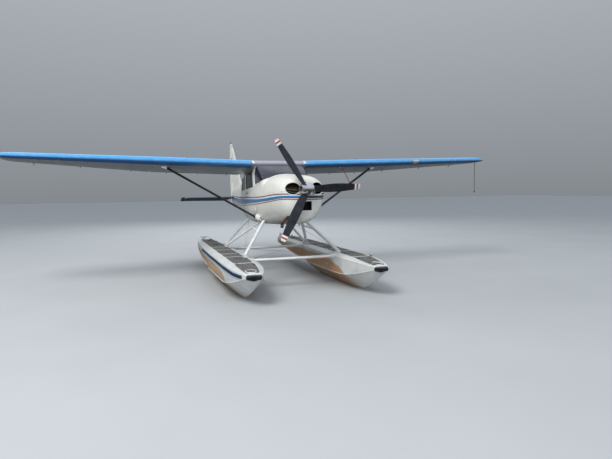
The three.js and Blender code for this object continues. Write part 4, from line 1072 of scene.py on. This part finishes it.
def cabin_details():
    bezels = Piece("dial_bezels", "panel")
    glasses = Piece("dial_glasses", "dial")
    needles = Piece("dial_needles", "white")
    for x, z, r in DIALS:
        frame_line = [(0, r + 0.006), (0.007, r + 0.005), (0.008, r), (0.003, r - 0.001), (0.003, r - 0.002)]
        bezels.lathe(air(x, PANEL_Y, z), AFT, frame_line, 24)
        glasses.lathe(air(x, PANEL_Y, z), AFT, [(0.001, r), (0.0045, r - 0.001)], 24)
        way, middle = spoke(random.uniform(0.3, 5.5)), air(x, PANEL_Y + 0.0052, z)
        needles.tube([middle - way * r * 0.2, middle + way * r * 0.75], [0.0016, 0.0006], 6)
        middle = air(x, PANEL_Y + 0.0050, z)
        for k in range(10):
            tick = spoke(2 * math.pi * k / 10)
            needles.tube([middle + tick * r * 0.80, middle + tick * r * 0.93], 0.0009, 4)
    for piece in (bezels, glasses, needles):
        piece.make()
    stack = Piece("radio_stack", "panel")
    keys = Piece("radio_knobs", "steel")
    for z in (0.20, 0.145, 0.09, 0.035):
        stack.block(air(0.0, PANEL_Y + 0.003, z), (0.078, 0.005, 0.024))
        for x in (-0.062, 0.062):
            keys.lathe(air(x, PANEL_Y + 0.008, z), AFT, [(0, 0.009), (0.014, 0.008), (0.015, 0.006)], 14)
    for x, r in ((-0.08, 0.013), (-0.02, 0.011), (0.05, 0.012)):
        keys.tube([air(x, PANEL_Y, -0.03), air(x, PANEL_Y + 0.045, -0.03)], 0.004)
        knob = [(0, r * 0.8), (0.004, r), (0.018, r), (0.022, r * 0.6)]
        keys.lathe(air(x, PANEL_Y + 0.04, -0.03), AFT, knob, 16)
    stack.make()
    keys.make()
    yokes = Piece("control_yokes", "rubber")
    for x in (0.262, -0.262):
        yokes.tube([air(x, PANEL_Y, 0.03), air(x, PANEL_Y + 0.17, 0.03)], 0.013, 12)
        yokes.tube(along([air(x + dx, PANEL_Y + 0.18, 0.03 + dz) for dx, dz in YOKE], 0.03), 0.012, 10)
        yokes.block(air(x, PANEL_Y + 0.178, 0.012), (0.045, 0.014, 0.028))
    yokes.make()
    bowl = [(0, 0.022), (0.012, 0.028), (0.045, 0.030), (0.062, 0.022), (0.066, 0.010)]
    Piece("compass", "panel").lathe(air(0, 0.30, 0.352), UP, bowl).make()
    visor = Piece("sun_visors", "cloth")
    for x in (0.25, -0.25):
        visor.block(air(x, 0.80, 0.560), (0.15, 0.055, 0.006), (PORT, AFT + UP * 0.25, UP - AFT * 0.25))
    visor.make()


# the foot and the head of a wing strut, port side
STRUT = Vector((0.480, 0.531, -0.570)), Vector((2.517, 1.117, 0.680))
LAMP_SIDES = 28


def wing_details():
    for side, sign in SIDES:
        skin = Skin(f"wing_{side}")
        cap = Piece(f"fuel_cap_{side}", "steel")
        place, normal = skin.hit(wing_at(sign * 1.95, 0.24) + UP, DOWN)
        form = [(-0.002, 0.060), (0.004, 0.060), (0.007, 0.052), (0.012, 0.040), (0.026, 0.036), (0.030, 0.028)]
        cap.lathe(place, normal, form, 28)
        cap.block(place + normal * 0.030, (0.034, 0.007, 0.006), (AFT, PORT, normal)).make()
        brackets = Piece(f"hinge_brackets_{side}", "flap")
        for x in (0.95, 1.62, 2.30, 3.05, 4.05, 4.90):
            path = skin.points([wing_at(sign * x, t) - UP * 0.04 for t in (0.60, 0.68, 0.725)], UP, 0.002)
            if len(path) == 3:
                end = wing_at(sign * x, 0.765) - UP * 0.078
                brackets.tube(path + [end], [0.005, 0.011, 0.012, 0.010])
        brackets.make()
        under = Piece(f"wing_underside_fittings_{side}", "steel")
        for spot in skin.points([wing_at(sign * x, t) for x, t in ((0.75, 0.30), (1.95, 0.30), (2.50, 0.10))], UP):
            under.lathe(spot, DOWN, [(-0.002, 0.011), (0.006, 0.009), (0.010, 0.005)], 12)
        for spot in skin.points([wing_at(sign * 2.62, 0.26)], UP):
            under.tube(ring(spot - UP * 0.022, AFT * 0.020, UP * 0.020, 20), 0.0045, closed=True)
        under.make()
        tip = wing_at(sign * 5.452, 0.40)
        lamp = Piece(f"navigation_light_{side}", "red" if sign > 0 else "green")
        lamp.lathe(tip, PORT * sign, [(-0.02, 0.020), (0.0, 0.019), (0.004, 0.014), (0.0055, 0.004)]).make()
        holder = Piece(f"navigation_light_base_{side}", "steel")
        holder.lathe(tip, PORT * sign, [(-0.03, 0.026), (-0.004, 0.0255), (-0.002, 0.021)]).make()
        wicks = Piece(f"static_wicks_{side}", "rubber", f"aileron_{side}")
        for x in (3.6, 4.4, 5.05):
            wick(wicks, wing_at(sign * x, 0.985), 0.06, 0.16)
        wicks.make()
        # the strut's upper cuff lies against the wing
        foot, head = STRUT
        way = (head - foot).normalized()
        flow = (Vector((0, 1, 0)) - way * way.y).normalized()
        rings = []
        for t, half_a, half_b in ((0.905, 0.060, 0.027), (0.925, 0.072, 0.036), (0.947, 0.094, 0.052)):
            loop = ring(foot.lerp(head, t), flow * half_a, way.cross(flow) * half_b, 20)
            rings.append([air(p.x * sign, p.y, p.z) for p in loop])
        Piece(f"strut_upper_cuff_{side}", "white").rings(rings).make()
    port_wing_details(Skin("wing_left"))


def wick(piece, root, middle, end):
    piece.tube([root, root + AFT * middle, root + AFT * end], [0.004, 0.0028, 0.002], 6)


def port_wing_details(port):
    """The pitot tube with its red cover, and the landing light."""
    mast = port.points([wing_at(1.47, 0.10)], UP)[0]
    elbow = mast - UP * 0.062
    path = [mast + UP * 0.01, mast - UP * 0.045, elbow - AFT * 0.02, elbow - AFT * 0.06]
    Piece("pitot_tube", "steel").tube(path, [0.014, 0.011, 0.0085, 0.008], 12).make()
    cover = Piece("pitot_cover", "red")
    start = elbow - AFT * 0.045
    cover.tube([start - AFT * t for t in (0, 0.05, 0.115, 0.13)], [0.013, 0.016, 0.015, 0.008], 12)
    ribbon = []
    for k in range(13):
        t = k / 12
        swing = 0.19 * t + 0.004 * math.sin(5.0 * t)
        ribbon.append(start - AFT * (0.10 - 0.03 * t) - UP * (0.325 * t) + PORT * swing)
    cover.tube(ribbon, [0.010] + [0.016] * 11 + [0.010], 6, flat=0.10).make()
    centre = wing_at(3.375, 0.0)
    loop = ring(centre - UP * 0.006, PORT * 0.085, UP * 0.050, LAMP_SIDES)
    rim = Piece("landing_light_rim", "steel")
    rim.tube(port.points(loop, AFT, 0.0008), 0.0045, closed=True).make()
    rows = [[centre + (p - centre) * s for p in loop] for s in (0.02, 0.35, 0.7, 0.97)]
    rings = [port.points(row, AFT, 0.0025) for row in rows]
    if all(len(one) == LAMP_SIDES for one in rings):
        Piece("landing_light_glass", "lens").rings(rings).make()


def tail_details():
    dome = [(0, 0.020), (0.020, 0.024), (0.040, 0.020), (0.050, 0.011), (0.054, 0.003)]
    Piece("beacon", "beacon", "rudder").lathe(air(0, 6.31, 1.790), UP, dome).make()
    lens = [(-0.02, 0.018), (0.006, 0.018), (0.018, 0.012), (0.022, 0.004)]
    Piece("tail_light", "lens", "rudder").lathe(air(0, 6.612, 0.42), AFT, lens, 16).make()
    hinges = Piece("rudder_hinge_fittings", "steel")
    for z in (0.02, 0.62, 1.30):
        y = 6.168 + 0.024 * (z + 0.13) / 1.77
        for x in (0.026, -0.026):
            hinges.block(air(x, y - 0.046, z), (0.0035, 0.040, 0.016))
    hinges.make()
    horns = Piece("elevator_hinge_fittings", "steel")
    for x in (0.55, 1.05, -0.55, -1.05):
        horns.block(air(x, 5.962, 0.0325), (0.004, 0.030, 0.007))
        horns.block(air(x, 5.995, 0.027), (0.004, 0.020, 0.006))
    horns.make()
    wires = Piece("tail_static_wicks", "rubber", "rudder")
    for z in (1.10, 1.50):
        wick(wires, air(0, 6.592 - (z - 1.1) * 0.05, z), 0.05, 0.10)
    wires.make()
    loop = ring(air(0, 5.75, -0.168) - UP * 0.020, AFT * 0.026, UP * 0.026, 20)
    Piece("tail_tie_down", "steel").tube(loop, 0.005, closed=True).make()


# y, half beam, half deck, deck height, gunwale, chine, keel
HULL = [
    (-1.790, 0.138, 0.122, 0.580, 0.560, 0.492, 0.452),
    (-1.690, 0.176, 0.142, 0.590, 0.568, 0.462, 0.340),
    (-1.540, 0.222, 0.165, 0.604, 0.578, 0.420, 0.236),
    (-1.330, 0.268, 0.186, 0.624, 0.590, 0.368, 0.136),
    (-1.050, 0.304, 0.200, 0.646, 0.602, 0.312, 0.052),
    (-0.650, 0.326, 0.204, 0.660, 0.608, 0.262, 0.000),
    (1.350, 0.328, 0.204, 0.660, 0.608, 0.240, 0.000),
    (1.353, 0.324, 0.204, 0.660, 0.608, 0.276, 0.074),
    (2.500, 0.308, 0.198, 0.658, 0.606, 0.318, 0.168),
    (3.600, 0.254, 0.176, 0.644, 0.596, 0.384, 0.272),
    (4.450, 0.190, 0.148, 0.626, 0.580, 0.440, 0.352),
]
FLOAT_X = 1.168
STRUT_FOOT_X = 0.99
# where one deck mat ends and the next starts: y
MAT_STOPS = [-1.735, -0.93, -0.05, 0.45, 1.20, 1.80, 2.90, 4.15]
# y, distance from the float's middle, radius
HATCHES = [(-1.60, 0.012, 0.092), (-0.45, 0.0, 0.07), (0.86, 0.06, 0.07), (2.4, 0.0, 0.07), (3.5, 0.0, 0.07)]
BIG_HATCH = 0.08
# y, distance from the float's middle
CLEATS = [(-1.64, -0.085), (-1.05, 0.150), (0.95, 0.165), (3.95, -0.10), (3.95, 0.10)]
STEP_Y = 1.35
BEAD_YS = [-1.785 + 0.1545 * k for k in range(41)]


def hull_at(y):
    """Half beam, half deck, deck height, gunwale, chine and keel of a float at y from the firewall."""
    for a, b in zip(HULL, HULL[1:]):
        if y <= b[0]:
            t = (y - a[0]) / (b[0] - a[0])
            return [a[k] + (b[k] - a[k]) * t for k in range(1, 7)]
    return list(HULL[-1][1:])


def deck_details(side, sign):
    skin = Skin(f"float_hull_{side}")

    def spot(across, y, lift=0.0):
        place, normal = skin.hit(deck(sign * (FLOAT_X + across), y, RAY_BACK), TRUE_DOWN)
        return place + normal * lift if place else None

    # non-slip mats on the deck, between white strips
    mats = Piece(f"deck_mats_{side}", "pad")
    for a, b in zip(MAT_STOPS, MAT_STOPS[1:]):
        rows = []
        for j in range(7):
            y = a + 0.035 + (b - a - 0.07) * j / 6
            half = hull_at(y)[1] - (0.030 if j in (0, 6) else 0.022)
            rows.append([deck(sign * (FLOAT_X + half * (i / 3 - 1)), y, 0) for i in range(7)])
        mats.sheet(skin.grid(rows, TRUE_DOWN), 0.0032, 0.001)
    mats.make()
    # covers of the compartments: a raised ring and a lid each
    rings = Piece(f"hatch_rings_{side}", "white")
    lids = Piece(f"hatch_lids_{side}", "pad")
    for y, across, r in HATCHES:
        turns = [2 * math.pi * k / 32 for k in range(32)]
        loop = [spot(across + r * math.cos(turn), y + r * 1.15 * math.sin(turn), 0.006) for turn in turns]
        (rings if r > BIG_HATCH else lids).tube(loop, 0.0085, closed=True, flat=0.6)
        lids.lathe(spot(across, y), TRUE_UP, [(0.0, r - 0.010), (0.006, r - 0.012), (0.009, 0.045), (0.009, 0.004)], 28)
    rings.make()
    lids.make()
    # plugs of the bilge pumps along the deck's inboard side
    plugs = Piece(f"bilge_plugs_{side}", "rubber")
    form = [(0, 0.021), (0.006, 0.020), (0.009, 0.013), (0.016, 0.011), (0.018, 0.006)]
    for y in (-1.15, -0.48, 0.35, 1.25, 2.2, 3.1, 3.9):
        plugs.lathe(spot(-hull_at(y)[1] + 0.045, y, 0.002), TRUE_UP, form, 16)
    plugs.make()
    # cleats at bow and stern
    cleats = Piece(f"cleats_{side}", "steel")
    for y, across in CLEATS:
        base = spot(across, y)
        for dy in (-0.028, 0.028):
            cleats.tube([base + Vector((0, dy, z)) for z in (-0.002, 0.030)], [0.010, 0.007], 10)
        bar = [base + Vector((0, dy, 0.032 + 0.075 * abs(dy))) for dy in (-0.085, -0.05, 0, 0.05, 0.085)]
        cleats.tube(bar, [0.004, 0.008, 0.009, 0.008, 0.004], 10)
    cleats.make()
    return spot


def bead_details(side, sign):
    """Beads along gunwale, deck edge and chine, the keel strip and the band at the bow."""
    def at(dx, y, z):
        return deck(sign * (FLOAT_X + dx), y, z)

    bead = Piece(f"float_beads_{side}", "float")
    ys = [y for y in BEAD_YS if y < 4.44]
    for edge in (1, -1):
        forms = [(y, *hull_at(y)) for y in ys]
        bead.tube([at(edge * (beam + 0.001), y, gunwale) for y, beam, _, _, gunwale, _, _ in forms], 0.0085, 6)
        bead.tube([at(edge * half, y, top + 0.001) for y, _, half, top, _, _, _ in forms], 0.0045, 6)
        rail = [at(edge * (beam + 0.001), y, chine + 0.022) for y, beam, _, _, _, chine, _ in forms]
        bead.tube([p for p in rail if p.y < FIREWALL_Y + STEP_Y - 0.01], 0.010, 6)
        bead.tube([p for p in rail if p.y > FIREWALL_Y + STEP_Y + 0.01], 0.010, 6)
    bead.make()
    line = [at(0, y, hull_at(y)[5] + 0.003) for y in ys if -1.6 < y < STEP_Y - 0.005]
    Piece(f"keel_strip_{side}", "steel").tube(line, 0.0045, 6).make()
    beam, half, top, gunwale, _, _ = hull_at(-1.788)
    path = [(-beam, gunwale - 0.01), (-half, top - 0.002), (half, top - 0.002), (beam, gunwale - 0.01)]
    Piece(f"bow_band_{side}", "white").tube([at(dx, -1.786, z) for dx, z in path], 0.014).make()


def rigging_details(side, sign, spot):
    """Fittings, step, wires and cables between the struts and on the deck."""
    feet = Piece(f"strut_fittings_{side}", "steel")
    for y in (-0.205, 2.0, 1.862):
        for dx in (-0.041, 0.041):
            for dy in (-0.035, 0.035):
                place = deck(sign * (STRUT_FOOT_X + dx * 0.55), y + dy, 0.706)
                feet.lathe(place, TRUE_UP, [(-0.004, 0.008), (0.004, 0.008), (0.007, 0.004)], 6)
    feet.make()
    front = deck(sign * STRUT_FOOT_X, -0.205, 0.694).lerp(air(sign * 0.455, 0.420, -0.600), 0.70)
    back = deck(sign * STRUT_FOOT_X, 1.862, 0.694).lerp(air(sign * 0.462, 0.640, -0.600), 0.78)
    Piece(f"boarding_step_{side}", "white").tube([front, back], 0.020, 12, flat=0.55).make()
    # bracing wires between the struts, with turnbuckles
    wires = Piece(f"bracing_wires_{side}", "steel")
    pairs = [(deck(sign * STRUT_FOOT_X, -0.175, 0.72), air(sign * 0.445, 1.90, -0.59)),
             (deck(sign * 0.86, -0.265, 0.63), deck(-sign * 0.86, 1.873, 0.62))]
    for start, end in pairs:
        wires.tube([start, end], 0.0030, 6)
        for t in (0.06, 0.94):
            wires.tube([start.lerp(end, t + dt) for dt in (-0.018, 0, 0.018)], [0.004, 0.0075, 0.004])
    wires.make()
    # cables of the water rudder run over the deck to its steering arm
    cables = Piece(f"rudder_cables_{side}", "steel")
    for edge in (1, -1):
        path = [deck(sign * (FLOAT_X - 0.14), 2.2, 0.674)]
        path += [spot(edge * 0.10 - 0.04, y, 0.012) for y in (2.9, 3.7, 4.2)]
        cables.tube(path + [deck(sign * (FLOAT_X + edge * 0.085), 4.44, 0.668)], 0.0022, 6)
        for y in (2.9, 4.2):
            base = spot(edge * 0.10 - 0.04, y) + TRUE_UP * 0.001
            cables.lathe(base, TRUE_UP, [(0, 0.012), (0.006, 0.011), (0.008, 0.005), (0.013, 0.005)], 12)
    cables.make()
    ribs = Piece(f"bumper_ribs_{side}", "rubber")
    for z in (0.495, 0.517, 0.539):
        spots = [(dx, -1.858 + 0.15 * abs(dx) ** 1.5) for dx in (-0.105, -0.05, 0, 0.05, 0.105)]
        ribs.tube([deck(sign * (FLOAT_X + dx), y, z) for dx, y in spots], 0.004, 6)
    ribs.make()


def float_details():
    for side, sign in SIDES:
        spot = deck_details(side, sign)
        bead_details(side, sign)
        rigging_details(side, sign, spot)


# Cushions: the box's rounding, the cloth solver's settings and how far the cloth may move
ROUNDING = 0.55
VOXEL, VOXEL_QUICK = 0.011, 0.014
PRESSURE = 3.0
STIFFNESS = 25
CLOTH_FRAMES = 20
CLOTH_CAP = 0.022
BACK_LEAN = -9.0


def settle(thing):
    """Makes the modifiers' result the object's own mesh."""
    graph = bpy.context.evaluated_depsgraph_get()
    made = bpy.data.meshes.new_from_object(thing.evaluated_get(graph))
    thing.modifiers.clear()
    thing.data = made


def puffed(name, half):
    """A cushion: a closed box of cloth blown up a little by the cloth solver, at the origin."""
    mesh = bpy.data.meshes.new(name)
    form = bmesh.new()
    bmesh.ops.create_cube(form, size=2.0)
    bmesh.ops.scale(form, vec=half, verts=form.verts)
    parts = list(form.edges) + list(form.verts)
    bmesh.ops.bevel(form, geom=parts, offset=min(half) * ROUNDING, segments=2, affect="EDGES")
    form.to_mesh(mesh)
    form.free()
    cushion = bpy.data.objects.new(name, mesh)
    scene.collection.objects.link(cushion)
    remesh = cushion.modifiers.new("remesh", "REMESH")
    remesh.mode = "VOXEL"
    remesh.voxel_size = VOXEL
    settle(cushion)
    soft = cushion.modifiers.new("cloth", "CLOTH")
    soft.settings.use_pressure = True
    soft.settings.uniform_pressure_force = PRESSURE
    soft.settings.effector_weights.gravity = 0
    soft.settings.quality = 5
    soft.settings.tension_stiffness = soft.settings.compression_stiffness = STIFFNESS
    soft.point_cache.frame_start, soft.point_cache.frame_end = 1, CLOTH_FRAMES
    rest = [v.co.copy() for v in cushion.data.vertices]
    for number in range(1, CLOTH_FRAMES + 1):
        scene.frame_set(number)
    settle(cushion)
    scene.frame_set(1)
    for v, start in zip(cushion.data.vertices, rest):
        move = v.co - start
        if move.length > CLOTH_CAP:
            v.co = start + move * (CLOTH_CAP / move.length)
    fine = cushion.modifiers.new("fine", "SUBSURF")
    fine.levels = fine.render_levels = 1
    settle(cushion)
    for face in cushion.data.polygons:
        face.use_smooth = True
    return cushion


def cushion_at(name, pattern, place, lean=0.0):
    mesh = pattern.data.copy()
    turn = AIR.to_quaternion().to_matrix().to_4x4() @ Matrix.Rotation(math.radians(lean), 4, "X")
    mesh.transform(Matrix.Translation(place) @ turn)
    mesh.materials.clear()
    mesh.materials.append(MATS["cloth"])
    thing = bpy.data.objects.new(name, mesh)
    scene.collection.objects.link(thing)
    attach(thing, "airframe")


def seat_details():
    base_form = puffed("seat_cushion_form", (0.200, 0.215, 0.062))
    back_form = puffed("seat_back_form", (0.195, 0.052, 0.285))
    bench_form = puffed("bench_cushion_form", (0.196, 0.190, 0.062))
    for side, sign in SIDES:
        cushion_at(f"seat_{side}_cushion", base_form, air(sign * 0.265, 1.235, -0.272))
        cushion_at(f"seat_{side}_back", back_form, air(sign * 0.265, 1.452, 0.000), BACK_LEAN)
    for k, x in ((1, 0.2), (2, -0.2)):
        cushion_at(f"bench_cushion_{k}", bench_form, air(x, 1.945, -0.272))
        cushion_at(f"bench_back_{k}", back_form, air(x, 2.145, 0.000), BACK_LEAN)
    for form in (base_form, back_form, bench_form):
        bpy.data.objects.remove(form)
    # seat frames below the cushions, with a spine up each side of the back
    for name, xa, xb, y0, y1 in (("seat_left", 0.11, 0.42, 1.0, 1.45), ("seat_right", -0.42, -0.11, 1.0, 1.45),
                                 ("rear_bench", -0.35, 0.35, 1.74, 2.14)):
        stand = Piece(f"{name}_frame", "panel")
        spine = [(y0 + 0.02, -0.340), (y1 - 0.03, -0.340), (y1 + 0.035, -0.10), (y1 + 0.085, 0.22)]
        for x in (xa, xb):
            for y in (y0 + 0.05, y1 - 0.07):
                stand.tube([air(x, y, -0.553), air(x, y + 0.01, -0.340)], 0.012, 10)
            stand.tube([air(x, y, z) for y, z in spine], 0.012, 10)
            stand.tube([air(x, y0 + 0.01, -0.549), air(x, y1 - 0.03, -0.549)], 0.0055)
        stand.tube([air(xa, y0 + 0.03, -0.340), air(xb, y0 + 0.03, -0.340)], 0.012, 10)
        stand.tube([air(xa, y1 + 0.075, 0.16), air(xb, y1 + 0.075, 0.16)], 0.011, 10)
        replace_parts(stand.make(), name)


def rope_details():
    """A cord that hangs from a ring under the port wing tip and ends in a knot."""
    low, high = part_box("grab_rope_left")
    x, y, top = (low.x + high.x) / 2, (low.y + high.y) / 2, high.z
    length = top - low.z
    path = []
    for k in range(25):
        t = k / 24
        dx, dy = 0.004 * math.sin(7 * t) * t, 0.003 * math.sin(5 * t + 1) * t
        path.append(Vector((x + dx, y + dy, top - 0.004 - (length - 0.03) * t)))
    cord = Piece("grab_rope", "rope").tube(along(path, 0.012), 0.006, 10).make()
    loops = []
    for k in range(60):
        a = 2 * math.pi * k / 60
        across, ahead = math.sin(a) + 0.9 * math.sin(2 * a), math.cos(a) - 0.9 * math.cos(2 * a)
        loops.append(path[-1] + Vector((0.0076 * across, 0.0076 * ahead, 0.012 * math.sin(3 * a) - 0.004)))
    tied = Piece("grab_rope_knot", "rope").tube(loops, 0.0062, closed=True).make()
    eye = Piece("grab_rope_eye", "steel")
    eye.lathe((x, y, top + 0.004), TRUE_DOWN, [(-0.004, 0.013), (0.003, 0.012), (0.006, 0.007)], 16).make()
    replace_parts(cord, "grab_rope_left")


make_camera()
make_stage()
make_light()
dress_frame()
for add_details in (nose_details, spinner_details, window_details, door_details, cabin_details, wing_details,
                    tail_details, float_details, seat_details, rope_details):
    add_details()
